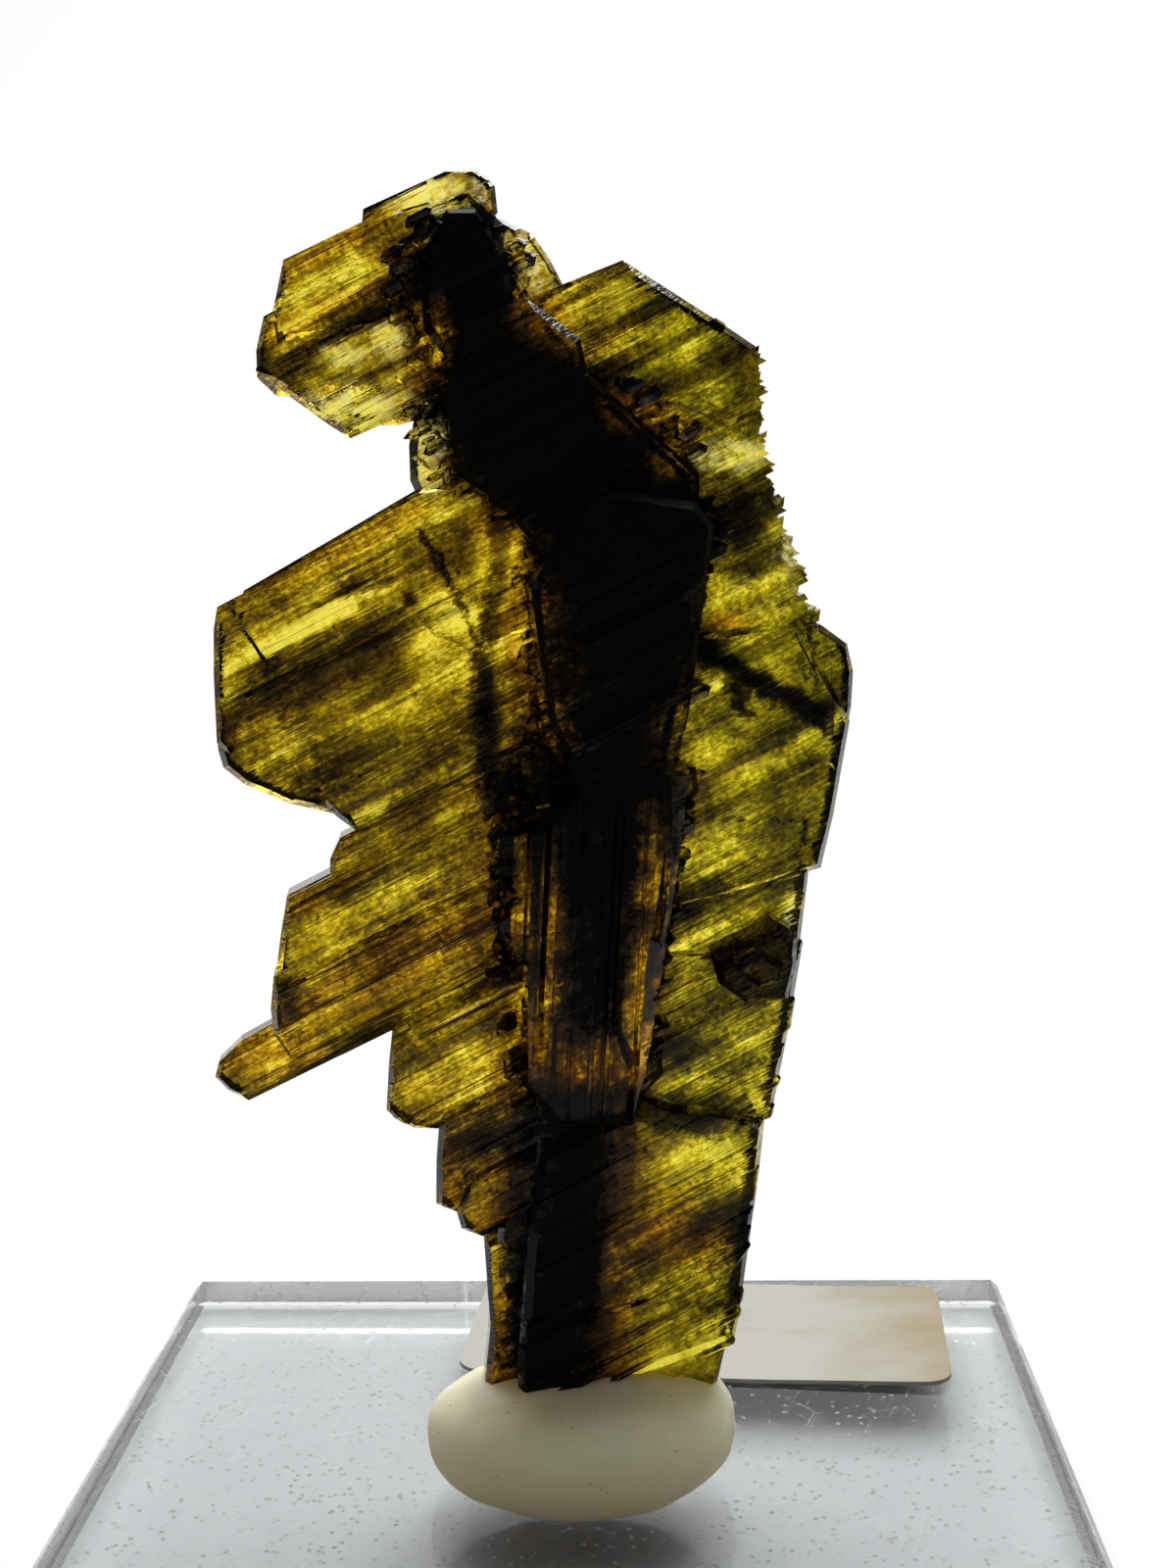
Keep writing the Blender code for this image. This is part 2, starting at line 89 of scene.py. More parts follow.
HEAD = [
    Crystal([(-8.4, 65.6), (-8.3, 66.4), (-4.6, 68.0), (-3.3, 68.1), (-2.4, 67.4), (-2.3, 66.2), (-4.6, 64.3),
             (-7.5, 64.1)], -1.1, 0.8),
    Crystal([(-11.9, 64.2), (-8.4, 65.8), (-3.6, 67.1), (-2.0, 65.6), (-2.4, 61.6), (-12.3, 60.5), (-12.5, 61.8)],
            -1.5, 1.2),
    Crystal([(-12.9, 61.8), (-12.3, 62.1), (-2.6, 66.0), (-1.4, 61.2), (-3.0, 58.6), (-12.5, 58.3), (-13.3, 59.1),
             (-13.3, 60.3)], -1.0, 1.6),
    Crystal([(-13.3, 59.5), (-13.3, 59.0), (-10.1, 56.9), (-9.3, 56.3), (-3.4, 58.8), (-1.8, 62.4), (-6.9, 62.5)],
            -1.7, 1.0),
    Crystal([(-9.9, 57.5), (-7.9, 56.9), (-7.1, 56.9), (-6.2, 57.1), (-2.4, 59.4), (-4.4, 61.0)], -1.2, 1.5),
    Crystal([(-2.8, 66.0), (-2.1, 66.1), (-0.6, 65.3), (0.1, 64.3), (0.7, 63.1), (0.6, 62.2), (-1.0, 60.0),
             (-3.2, 61.2)], 0.1, 2.1),
    Crystal([(-6.3, 57.3), (-6.6, 56.0), (-6.6, 54.4), (-6.3, 53.7), (-2.6, 53.4), (-0.8, 57.0), (-3.0, 60.2),
             (-5.4, 58.6)], -1.3, 1.4),
    Crystal([(-6.4, 56.6), (-6.5, 55.4), (-5.6, 54.8), (-4.6, 55.1), (-4.5, 56.0), (-5.4, 56.7)], -1.9, 0.4),
]

WING = [
    Crystal([(-14.3, 49.6), (-6.3, 54.0), (-2.6, 55.8), (1.8, 55.0), (2.0, 47.6), (-13.5, 45.8), (-14.9, 48.1)],
            -1.4, 1.3),
    Crystal([(-15.5, 48.9), (-14.3, 49.5), (0.0, 54.4), (1.6, 48.8), (-15.3, 42.1), (-15.8, 42.7), (-15.8, 45.8),
             (-15.7, 47.9)], -1.8, 1.0),
    Crystal([(-15.8, 44.6), (-15.8, 42.3), (-15.6, 41.5), (-14.7, 40.7), (-12.6, 39.7), (-10.4, 39.1), (1.6, 44.2),
             (1.6, 51.0)], -1.3, 1.6),
    Crystal([(-12.2, 40.8), (-10.4, 39.0), (-9.5, 38.3), (1.4, 42.6), (1.4, 46.2)], -1.7, 1.1),
]

LEFT_STEPS = [
    Crystal([(-10.4, 38.0), (-10.9, 37.0), (-11.0, 34.7), (1.2, 40.2), (1.2, 43.5)], -1.2, 1.5),
    Crystal([(-10.7, 36.5), (-13.0, 35.4), (-13.3, 33.6), (-13.8, 31.1), (-13.7, 30.3), (1.2, 36.4), (1.2, 41.8)],
            -1.6, 1.2),
    Crystal([(-13.7, 31.7), (-13.9, 30.1), (-13.8, 28.9), (-13.0, 27.6), (-7.1, 30.0), (1.0, 33.6), (1.0, 38.0)],
            -1.9, 0.9),
    Crystal([(-12.8, 29.5), (-15.5, 28.1), (-16.6, 27.1), (-16.8, 26.4), (-16.2, 25.7), (-15.2, 25.1), (-8.1, 28.4),
             (-2.6, 30.9), (-2.6, 34.1)], 0.2, 2.2),
    Crystal([(-8.3, 28.5), (-8.5, 27.0), (-8.7, 24.7), (-8.3, 24.2), (-7.4, 23.7), (-6.3, 23.6), (0.6, 26.2),
             (0.6, 32.8)], -0.9, 1.5),
    Crystal([(-7.2, 29.8), (-7.4, 28.1), (-7.1, 27.8), (-2.2, 29.9), (0.6, 31.4), (0.6, 33.4)], -1.7, 0.8),
    Crystal([(-6.3, 24.7), (-6.4, 22.0), (-6.6, 20.0), (-5.4, 19.4), (-1.6, 20.5), (0.4, 23.2), (0.4, 27.8)],
            -1.1, 1.2),
    Crystal([(-4.6, 21.7), (-5.2, 20.8), (-5.5, 19.6), (-5.3, 18.8), (-4.2, 18.3), (-3.5, 18.7), (0.0, 20.2),
             (-0.4, 23.4)], -1.6, 0.6),
    Crystal([(-3.4, 19.8), (-3.6, 17.9), (-2.4, 17.1), (0.6, 17.2), (0.6, 21.4), (-1.4, 21.0)], -1.3, 1.0),
    Crystal([(-4.5, 17.6), (-3.7, 18.2), (0.2, 19.4), (0.2, 10.4), (-3.9, 10.9), (-4.0, 13.2)], -0.4, 1.7),
    Crystal([(-4.0, 13.6), (-4.4, 10.3), (-4.5, 8.2), (0.2, 7.9), (0.2, 14.6)], -0.8, 1.4),
]

RIGHT_BLADE = [
    Crystal([(-1.4, 62.3), (0.7, 63.1), (3.3, 64.1), (7.9, 61.2), (9.4, 60.2), (9.3, 56.0), (4.6, 51.6), (-2.2, 52.0)],
            -1.2, 1.7),
    Crystal([(-1.6, 55.4), (9.2, 59.9), (9.5, 58.5), (9.4, 55.4), (9.8, 52.9), (3.4, 48.0), (-1.8, 48.6)], -1.6, 1.3),
    Crystal([(-1.4, 50.6), (9.6, 54.6), (10.4, 51.6), (11.0, 49.5), (11.4, 46.5), (4.0, 42.9), (-1.4, 43.6)],
            -1.3, 1.6),
    Crystal([(4.6, 46.3), (10.0, 48.5), (12.5, 47.3), (13.7, 46.4), (14.0, 45.1), (13.9, 43.4), (13.3, 40.3),
             (4.6, 38.3)], -1.0, 1.2),
    Crystal([(-1.2, 46.4), (11.2, 47.7), (13.7, 42.8), (12.9, 38.3), (12.3, 35.8), (-1.4, 32.4)], -1.7, 1.4),
    Crystal([(-1.4, 38.6), (12.8, 38.1), (11.9, 34.3), (11.2, 31.0), (11.0, 29.4), (-1.4, 26.1)], -1.4, 1.7),
    Crystal([(-1.4, 32.0), (11.4, 32.2), (10.7, 28.1), (9.8, 23.6), (-1.4, 19.5)], -1.8, 1.3),
]

BOTTOM_BLOCK = [
    Crystal([(-1.4, 23.3), (3.2, 25.3), (9.5, 23.8), (9.0, 20.7), (8.7, 17.9), (6.9, 15.4), (-2.5, 14.3), (-2.1, 19.1)],
            -2.6, 1.5),
    Crystal([(-2.1, 18.7), (2.8, 20.6), (8.8, 18.9), (8.1, 13.9), (7.8, 12.4), (-2.8, 9.2), (-2.8, 12.2)], -2.2, 1.2),
    Crystal([(-2.6, 14.5), (8.1, 14.1), (7.4, 11.4), (6.8, 9.1), (6.4, 7.4), (-2.6, 8.1), (-2.8, 10.2)], -1.7, 1.6),
]

SPINE = [
    Crystal([(-4.7, 66.0), (-2.3, 66.0), (-2.1, 64.2), (-1.3, 63.1), (-1.6, 61.8), (-3.0, 60.2), (-4.8, 59.6),
             (-5.8, 60.9), (-5.9, 62.5), (-5.4, 64.3)], -3.9, 1.6),
    Crystal([(-4.2, 61.2), (-1.4, 62.2), (1.0, 60.4), (1.8, 56.4), (-2.0, 52.8), (-4.6, 54.6), (-5.0, 58.0)],
            -4.5, 2.0),
    Crystal([(0.2, 60.0), (1.4, 58.9), (3.1, 58.3), (6.0, 56.4), (6.3, 55.5), (6.2, 51.6), (0.6, 49.2), (-2.0, 52.4),
             (-2.2, 57.4)], -4.1, 2.4),
    Crystal([(1.2, 54.0), (5.9, 53.2), (6.7, 52.2), (6.5, 49.6), (5.8, 45.9), (5.0, 40.5), (0.8, 39.6), (-0.8, 43.8),
             (-1.5, 49.6)], -5.3, 2.2),
    Crystal([(1.0, 41.0), (4.2, 41.5), (5.5, 40.9), (5.3, 38.5), (4.2, 31.8), (3.4, 27.2), (2.7, 24.5), (-0.8, 24.8),
             (-2.1, 26.7), (-2.0, 32.1), (-1.6, 38.4)], -4.7, 2.6),
    Crystal([(-3.1, 38.1), (-1.4, 38.8), (0.0, 38.0), (0.0, 31.6), (-3.3, 30.7), (-3.4, 31.5)], -2.5, 1.8),
    Crystal([(-3.8, 41.7), (-1.4, 42.8), (0.2, 41.6), (0.2, 39.4), (-3.6, 38.9), (-3.9, 39.3)], -2.3, 1.2),
    Crystal([(-1.2, 28.8), (2.4, 29.1), (3.6, 25.4), (3.0, 18.8), (1.8, 10.9), (-1.2, 9.5), (-2.0, 17.1)], -2.2, 3.2),
]

SMALL_FRONT = [
    Crystal([(6.7, 32.3), (9.7, 33.7), (10.9, 32.9), (10.8, 31.3), (10.4, 29.8), (8.4, 29.7), (7.1, 30.7)], -3.0, 0.0),
    Crystal([(7.8, 32.4), (8.7, 32.6), (10.1, 31.7), (9.8, 30.8), (8.9, 30.6), (7.6, 31.6)], -3.7, 0.0),
    Crystal([(4.7, 41.1), (6.1, 41.1), (6.2, 39.9), (5.7, 39.4), (4.7, 39.8)], -3.3, 0.0),
    Crystal([(2.7, 27.5), (4.3, 28.2), (4.4, 26.4), (3.1, 25.1), (2.3, 25.9)], -3.0, 0.0),
]
# Crystals with laths of their own: the crystal, how many on the front, and how many on the back
LATHED = [
    (HEAD[0], 3, 3), (HEAD[1], 7, 6), (HEAD[2], 6, 6), (HEAD[3], 9, 6), (HEAD[4], 4, 3),
    (WING[0], 6, 6), (WING[1], 12, 9), (WING[2], 12, 10), (WING[3], 5, 4),
    (LEFT_STEPS[0], 4, 4), (LEFT_STEPS[1], 9, 7), (LEFT_STEPS[2], 9, 6), (LEFT_STEPS[3], 2, 2),
    (LEFT_STEPS[4], 8, 5), (LEFT_STEPS[6], 7, 4), (LEFT_STEPS[7], 3, 2),
    (RIGHT_BLADE[0], 9, 8), (RIGHT_BLADE[1], 8, 8), (RIGHT_BLADE[2], 8, 9), (RIGHT_BLADE[3], 4, 4),
    (RIGHT_BLADE[4], 14, 12), (RIGHT_BLADE[5], 13, 12), (RIGHT_BLADE[6], 12, 10),
    (BOTTOM_BLOCK[0], 9, 7), (BOTTOM_BLOCK[1], 11, 8), (BOTTOM_BLOCK[2], 7, 5),
    (SPINE[1], 6, 2), (SPINE[2], 6, 3), (SPINE[3], 8, 3), (SPINE[0], 4, 2),
]
UPRIGHT = SPINE[4:]

# Broken edges as (first, last, teeth, reach, front, back): rows of small crystal ends
RAGGED_EDGES = [
    ((9.3, 60.1), (9.5, 55.0), 26, 0.3, -1.62, 1.72),
    ((9.5, 54.9), (10.6, 51.2), 14, 0.45, -1.62, 1.62),
    ((10.5, 51.3), (11.8, 47.5), 15, 0.5, -1.32, 1.62),
    ((-1.3, 65.5), (0.6, 62.4), 15, 0.35, 0.08, 2.12),
]
TOOTH_BACK = 2.5

# The dark mass behind the spine: its left and right edges, as (z, x)
DARK_LEFT = [(8.0, -3.4), (12.4, -3.2), (16.9, -2.7), (21.7, -2.2), (25.3, -2.3), (28.3, -2.1), (31.2, -1.9),
             (31.8, -3.0), (36.0, -3.0), (39.0, -2.9), (43.1, -1.5), (44.7, -0.8), (47.7, -0.7), (49.9, -1.1),
             (52.4, -1.8), (53.6, -3.2), (54.1, -4.5), (55.7, -5.2), (57.0, -6.5), (57.8, -6.3), (58.6, -5.4),
             (60.6, -6.2), (61.6, -7.0), (62.7, -7.0), (63.4, -6.6), (64.4, -6.6), (65.0, -6.1), (66.1, -5.1),
             (66.5, -3.8), (68.0, -3.1)]
DARK_RIGHT = [(8.0, 0.6), (11.7, 0.6), (16.7, 1.2), (20.1, 1.9), (22.9, 2.6), (25.5, 2.6), (28.0, 3.2), (31.7, 4.0),
              (35.4, 4.8), (39.5, 5.4), (40.7, 5.6), (41.2, 4.7), (43.1, 4.5), (45.0, 5.7), (47.8, 6.1), (52.3, 6.9),
              (53.9, 6.1), (56.2, 6.2), (58.7, 2.8), (59.0, 1.0), (60.3, -1.2), (62.2, -2.0), (62.8, -1.7),
              (63.7, -1.5), (65.1, -2.3), (66.0, -2.7), (68.0, -2.9)]


def clear_rim(bm):
    rim = [edge for edge in bm.edges if edge.is_boundary]
    if rim:
        bmesh.ops.holes_fill(bm, edges=rim, sides=0)


def slice_off(bm, point, normal):
    """Cut away what lies outside a plane, and close the cut with one flat face."""
    bmesh.ops.bisect_plane(bm, geom=bm.verts[:] + bm.edges[:] + bm.faces[:], dist=CUT_SNAP * MM, plane_co=point,
                           plane_no=normal, clear_outer=True)
    bmesh.ops.remove_doubles(bm, verts=bm.verts[:], dist=CUT_SNAP * MM)
    clear_rim(bm)


def mesh_from(bm, name):
    bmesh.ops.recalc_face_normals(bm, faces=bm.faces[:])
    mesh = bpy.data.meshes.new(name)
    bm.to_mesh(mesh)
    bm.free()
    return mesh


def solid(mesh):
    """Whether a mesh is one closed skin with room inside."""
    bm = bmesh.new()
    bm.from_mesh(mesh)
    closed = len(bm.faces) > 3 and all(edge.is_manifold for edge in bm.edges) and bm.calc_volume() > 1e-13
    bm.free()
    return closed


def new_piece(name, mesh):
    piece = bpy.data.objects.new(name, mesh)
    bpy.context.scene.collection.objects.link(piece)
    return piece


def evaluated_mesh(piece):
    bpy.context.view_layer.update()
    graph = bpy.context.evaluated_depsgraph_get()
    return bpy.data.meshes.new_from_object(piece.evaluated_get(graph))


def in_plane(angle):
    """The unit vector at this many degrees from the blade's x."""
    return Vector((math.cos(math.radians(angle)), 0.0, math.sin(math.radians(angle))))


class Striations:
    """The striation direction, and crystals cut from striated blocks."""

    def __init__(self, settings, angle):
        self.angle = math.degrees(angle)
        self.along = in_plane(self.angle)
        self.across = in_plane(self.angle + 90.0)
        self.step_rise = settings.step_rise / MM
        self.dice = random.Random(settings.seed)

    def lean(self, outward):
        """(lean, depth) of the faces beside an edge: flat along the striations, steep at the ends."""
        edge = math.degrees(math.atan2(outward.z, outward.x)) - 90.0
        off = abs((edge - self.angle + 90.0) % 180.0 - 90.0)
        return (PRISM_LEAN, PRISM_DEPTH) if off < PRISM_SPREAD else (END_LEAN, END_DEPTH)

    def envelope(self, crystal, spare=0.0, cuts=(), beveled=True):
        """A crystal's flat-faced outline, its front and back held off by spare."""
        xs = [x for x, z in crystal.corners]
        zs = [z for x, z in crystal.corners]
        low = Vector((min(xs), crystal.front - spare, min(zs))) * MM
        high = Vector((max(xs), crystal.back + spare, max(zs))) * MM
        bm = bmesh.new()
        size = Matrix.Diagonal((*(high - low), 1.0))
        bmesh.ops.create_cube(bm, size=1.0, matrix=Matrix.Translation((low + high) / 2) @ size)
        thick = (crystal.back - crystal.front) * MM
        middle = Vector((sum(xs) / len(xs), 0.0, sum(zs) / len(zs))) * MM
        corners = [Vector((x, 0.0, z)) * MM for x, z in crystal.corners]
        toward, away = Vector((0.0, -1.0, 0.0)), Vector((0.0, 1.0, 0.0))
        for first, second in zip(corners, corners[1:] + corners[:1]):
            outward = (second - first).cross(away).normalized()
            if outward.dot(first - middle) < 0.0:
                outward.negate()
            slice_off(bm, first, outward)
            if not beveled:
                continue
            lean, depth = self.lean(outward)
            depth = min(depth, BEVEL_MOST * MM / thick)
            rise, run = math.cos(math.radians(lean)), math.sin(math.radians(lean))
            for side, face_y in ((toward, crystal.front), (away, crystal.back)):
                on_rim = Vector((first.x, face_y * MM, first.z)) - side * depth * thick
                slice_off(bm, on_rim, outward * run + side * rise)
        for point, normal in cuts:
            slice_off(bm, point, normal)
        return bm

    def profile(self, low, high, level, out):
        """Points (across, y) of a striated face: narrow steps of uneven width and height."""
        points = []
        place, rise = low, 0.0
        while place < high - 0.05:
            width = self.dice.choice((0.14, 0.2, 0.28, 0.4, 0.7)) * self.dice.uniform(0.8, 1.3)
            rise = max(-3.0, min(3.0, rise * 0.8 + self.dice.gauss(0.0, 1.0)))
            tilt = self.dice.gauss(0.0, 0.35)
            stop = min(place + width, high)
            points.append((place, level + out * self.step_rise * (rise - tilt)))
            points.append((stop - 0.02, level + out * self.step_rise * (rise + tilt)))
            place = stop
        return points

    def striated(self, crystal):
        """One crystal whose front and back are striated, as a closed mesh."""
        corners = [Vector((x, 0.0, z)) for x, z in crystal.corners]
        places = [corner.dot(self.across) for corner in corners]
        reaches = [corner.dot(self.along) for corner in corners]
        low, high = min(places) - 0.3, max(places) + 0.3
        ring = self.profile(low, high, crystal.front, -1.0)
        ring += list(reversed(self.profile(low, high, crystal.back, 1.0)))
        bm = bmesh.new()
        rows = []
        for reach in (min(reaches) - 0.5, max(reaches) + 0.5):
            base = self.along * reach
            rows.append([bm.verts.new((base + self.across * place + Vector((0.0, y, 0.0))) * MM) for place, y in ring])
        bm.faces.new(rows[0])
        bm.faces.new(rows[1])
        for index in range(len(ring)):
            after = (index + 1) % len(ring)
            bm.faces.new((rows[0][index], rows[0][after], rows[1][after], rows[1][index]))
        block = new_piece("striated_block", mesh_from(bm, "striated_block"))
        outline = new_piece("outline", mesh_from(self.envelope(crystal, 0.3), "outline"))
        trim = block.modifiers.new("trim", "BOOLEAN")
        trim.operation = "INTERSECT"
        trim.object = outline
        trim.solver = "MANIFOLD"
        mesh = evaluated_mesh(block)
        bpy.data.objects.remove(block)
        bpy.data.objects.remove(outline)
        return mesh

    def laths(self, parent, on_front, on_back):
        """Thin raised laths along the striations, each ending in a steep or a sloping step."""
        dice = self.dice
        corners = [Vector((x, 0.0, z)) for x, z in parent.corners]
        places = [corner.dot(self.across) for corner in corners]
        reaches = [corner.dot(self.along) for corner in corners]
        low, span = min(places), max(places) - min(places)
        start, reach = min(reaches), max(reaches) - min(reaches)
        middle = sum(corners, Vector()) / len(corners)
        made = []
        for count, front in ((on_front, True), (on_back, False)):
            for step in range(count):
                centre = low + span * (step + dice.uniform(0.1, 0.9)) / count
                half = dice.choice((0.06, 0.1, 0.16, 0.28, 0.5)) * dice.uniform(0.8, 1.3)
                rise = dice.uniform(0.08, 0.3)
                inset = dice.uniform(0.95, 1.0)
                shrunk = [tuple(middle.xz + (corner.xz - middle.xz) * inset) for corner in corners]
                if front:
                    lath = Crystal(shrunk, parent.front - rise, parent.front + 1.0)
                else:
                    lath = Crystal(shrunk, parent.back - 1.0, parent.back + rise)
                cuts = [
                    (self.across * (centre + half) * MM, self.across),
                    (self.across * (centre - half) * MM, -self.across),
                ]
                stops = ((-1.0, dice.uniform(-0.1, 0.6)), (1.0, dice.uniform(0.55, 1.1)))
                for way, share in stops:
                    end = in_plane(dice.choice((STEEP_END, SLOPING_END)) + 90.0)
                    if end.dot(self.along) * way < 0.0:
                        end.negate()
                    cuts.append(((self.along * (start + reach * share) + self.across * centre) * MM, end))
                made.append(mesh_from(self.envelope(lath, 0.0, cuts), "lath"))
        return made

    def ragged_edge(self, first, last, teeth, reach, front, back):
        """Small crystal ends of uneven reach along a broken edge, as thick as the blade there."""
        dice = self.dice
        first, last = Vector((first[0], 0.0, first[1])), Vector((last[0], 0.0, last[1]))
        pitch = (last - first).length / teeth
        made, out = [], 0.3
        for tooth in range(teeth):
            out = max(-0.4, min(1.0, out * 0.6 + dice.gauss(0.15, 0.4)))
            tip = first.lerp(last, (tooth + 0.5) / teeth) + self.along * reach * out
            heel = tip - self.along * TOOTH_BACK * dice.uniform(0.5, 1.2)
            half = pitch * dice.uniform(0.5, 0.85)
            slant = self.along * half * dice.choice((-0.7, 0.2, 0.7))
            corners = [tip + self.across * half - slant, tip - self.across * half + slant, heel - self.across * half,
                       heel + self.across * half]
            level = dice.uniform(0.0, 0.14)
            tooth_crystal = Crystal([tuple(corner.xz) for corner in corners], front - level, back + level)
            made.append(mesh_from(self.envelope(tooth_crystal, beveled=False), "tooth"))
        return made

    def crust(self, count):
        """Small dark crystals seated along both sides of the spine, their long side near the striations."""
        dice = self.dice
        made = []
        for index in range(count):
            z = dice.uniform(24.5, 66.0)
            if index % 2:
                x = read_table(DARK_LEFT, z) + dice.gauss(0.1, 0.5)
            else:
                x = read_table(DARK_RIGHT, z) + dice.gauss(0.0, 0.4)
            length, width = dice.uniform(0.2, 0.8), dice.uniform(0.15, 0.45)
            centre = Vector((x, 0.0, z))
            corners = []
            for side in range(6):
                turn = math.radians(60.0 * side + dice.uniform(-14.0, 14.0))
                corners.append(centre + self.along * math.cos(turn) * length + self.across * math.sin(turn) * width)
            front = dice.uniform(-4.4, -2.0)
            made.append(mesh_from(self.envelope(Crystal([tuple(c.xz) for c in corners], front, front + 3.0)), "crust"))
        return made


def read_table(table, place):
    """The value at a place in a table of (place, value), straight between its rows."""
    for (before, low), (after, high) in zip(table, table[1:]):
        if place <= after:
            return low + (high - low) * (place - before) / (after - before)
    return table[-1][1]


class Field:
    """A number that varies over a surface, written with Python's own operators."""

    def __init__(self, graph, socket):
        self.graph = graph
        self.socket = socket

    def maths(self, operation, *values):
        return self.graph.node("ShaderNodeMath", {"operation": operation}, dict(enumerate(values)))

    def __add__(self, other):
        return self.maths("ADD", self, other)

    def __radd__(self, other):
        return self.maths("ADD", other, self)

    def __sub__(self, other):
        return self.maths("SUBTRACT", self, other)

    def __rsub__(self, other):
        return self.maths("SUBTRACT", other, self)

    def __mul__(self, other):
        return self.maths("MULTIPLY", self, other)

    def __rmul__(self, other):
        return self.maths("MULTIPLY", other, self)

    def __abs__(self):
        return self.maths("ABSOLUTE", self)

    def most(self, other):
        return self.maths("MAXIMUM", self, other)

    def least(self, other):
        return self.maths("MINIMUM", self, other)

    def rising(self, low, high, top=1.0):
        """0 below low, top above high, and a smooth step between; falling where low is the greater."""
        return self.graph.node("ShaderNodeMapRange", {"interpolation_type": "SMOOTHSTEP"},
                               {"Value": self, "From Min": low, "From Max": high, "To Max": top})

    def rising_straight(self, low, high):
        return self.graph.node("ShaderNodeMapRange", None, {"Value": self, "From Min": low, "From Max": high})


class Graph:
    """The nodes of one material or world. Every node is made by node()."""

    def __init__(self, tree):
        self.tree = tree

    def feed(self, socket, value):
        if isinstance(value, Field):
            value = value.socket
        if isinstance(value, bpy.types.NodeSocket):
            self.tree.links.new(value, socket)
        elif isinstance(value, tuple) and len(socket.default_value) == len(value) + 1:
            socket.default_value = (*value, 1.0)
        else:
            socket.default_value = value

    def node(self, kind, settings=None, sockets=None, output=0):
        """One node: its settings first, then the values or links of its sockets."""
        made = self.tree.nodes.new(kind)
        for key, value in (settings or {}).items():
            if key == "stops":
                ramp = made.color_ramp
                while len(ramp.elements) < len(value):
                    ramp.elements.new(0.5)
                for element, (position, color) in zip(ramp.elements, value):
                    element.position = position
                    element.color = (*color, 1.0)
            elif key == "points":
                line = made.mapping.curves[0]
                while len(line.points) < len(value):
                    line.points.new(0.5, 0.5)
                for point, spot in zip(line.points, value):
                    point.location = spot
                    point.handle_type = "VECTOR"
                made.mapping.update()
            else:
                setattr(made, key, value)
        places = {socket.identifier: socket for socket in made.inputs}
        for key, value in (sockets or {}).items():
            self.feed(places[key] if key in places else made.inputs[key], value)
        outputs = {socket.identifier: socket for socket in made.outputs}
        return Field(self, outputs[output] if output in outputs else made.outputs[output])

    def vector(self, operation, *values, output=0):
        return self.node("ShaderNodeVectorMath", {"operation": operation}, dict(enumerate(values)), output)

    def spot(self, x, y, z=0.0):
        return self.node("ShaderNodeCombineXYZ", None, {0: x, 1: y, 2: z})

    def grain(self, spot, scale, detail=3.0, rough=0.55):
        """Noise from 0 to 1, where scale gives the waves per unit along each axis."""
        return self.node("ShaderNodeTexNoise", None, {"Vector": self.vector("MULTIPLY", spot, scale), "Scale": 1.0,
                                                      "Detail": detail, "Roughness": rough})

    def cells(self, spot, scale):
        return self.node("ShaderNodeTexVoronoi", None, {"Vector": self.vector("MULTIPLY", spot, scale), "Scale": 1.0})

    def tone(self, spot, scale):
        """A number for each long cell, the same all over it."""
        return self.node("ShaderNodeTexVoronoi", {"distance": "CHEBYCHEV", "voronoi_dimensions": "2D"},
                         {"Vector": self.vector("MULTIPLY", spot, scale), "Scale": 1.0}, "Color")

    def ramp(self, value, stops):
        return self.node("ShaderNodeValToRGB", {"stops": stops}, {"Fac": value})

    def blend(self, factor, first, second):
        """A mix of two colours, kept as colours."""
        return self.node("ShaderNodeMix", {"data_type": "RGBA", "clamp_factor": True},
                         {"Factor_Float": factor, "A_Color": first, "B_Color": second}, "Result_Color")

    def line(self, share, table, reach):
        """The value of a table of (place, value) where share runs from 0 to 1 over reach; far away off its ends."""
        start, stop = reach
        rows = [(start, FAR), (table[0][0] - 0.3, FAR), *table, (table[-1][0] + 0.3, FAR), (stop, FAR)]
        points = [((place - start) / (stop - start), (value + FAR) / (2 * FAR)) for place, value in rows]
        return self.node("ShaderNodeFloatCurve", {"points": points}, {"Value": share}) * (2 * FAR) - FAR

    def near(self, spot, rows):
        """1 on the places listed and 0 away from them. A row gives x, z, half width, half height and faintness."""
        closest = None
        for x, z, wide, high, faint in rows:
            far = self.vector("MULTIPLY_ADD", spot, (1.0 / wide, 1.0 / high, 0.0), (-x / wide, -z / high, faint))
            far = self.vector("LENGTH", far, output=1)
            closest = far if closest is None else closest.least(far)
        return closest.rising(1.45, 0.55)


class Surface(Graph):
    """One material and its Principled shader."""

    def __init__(self, name):
        self.material = bpy.data.materials.new(name)
        self.material.use_nodes = True
        super().__init__(self.material.node_tree)
        self.shader = self.tree.nodes["Principled BSDF"]
        self.output = self.tree.nodes["Material Output"]
        place = self.node("ShaderNodeTexCoord", None, None, "Object")
        self.place = self.vector("MULTIPLY", place, (1.0 / MM, 1.0 / MM, 1.0 / MM))

    def measure(self, direction):
        """Millimetres along a direction of the object."""
        return self.vector("DOT_PRODUCT", self.place, tuple(direction), output=1)

    def bump(self, height, strength, distance, under=None):
        sockets = {"Height": height, "Strength": strength, "Distance": distance}
        if under is not None:
            sockets["Normal"] = under
        return self.node("ShaderNodeBump", None, sockets)

    def set(self, **values):
        """Feed the shader's own sockets; an underscore in a name stands for a space."""
        for key, value in values.items():
            self.feed(self.shader.inputs[key.replace("_", " ")], value)


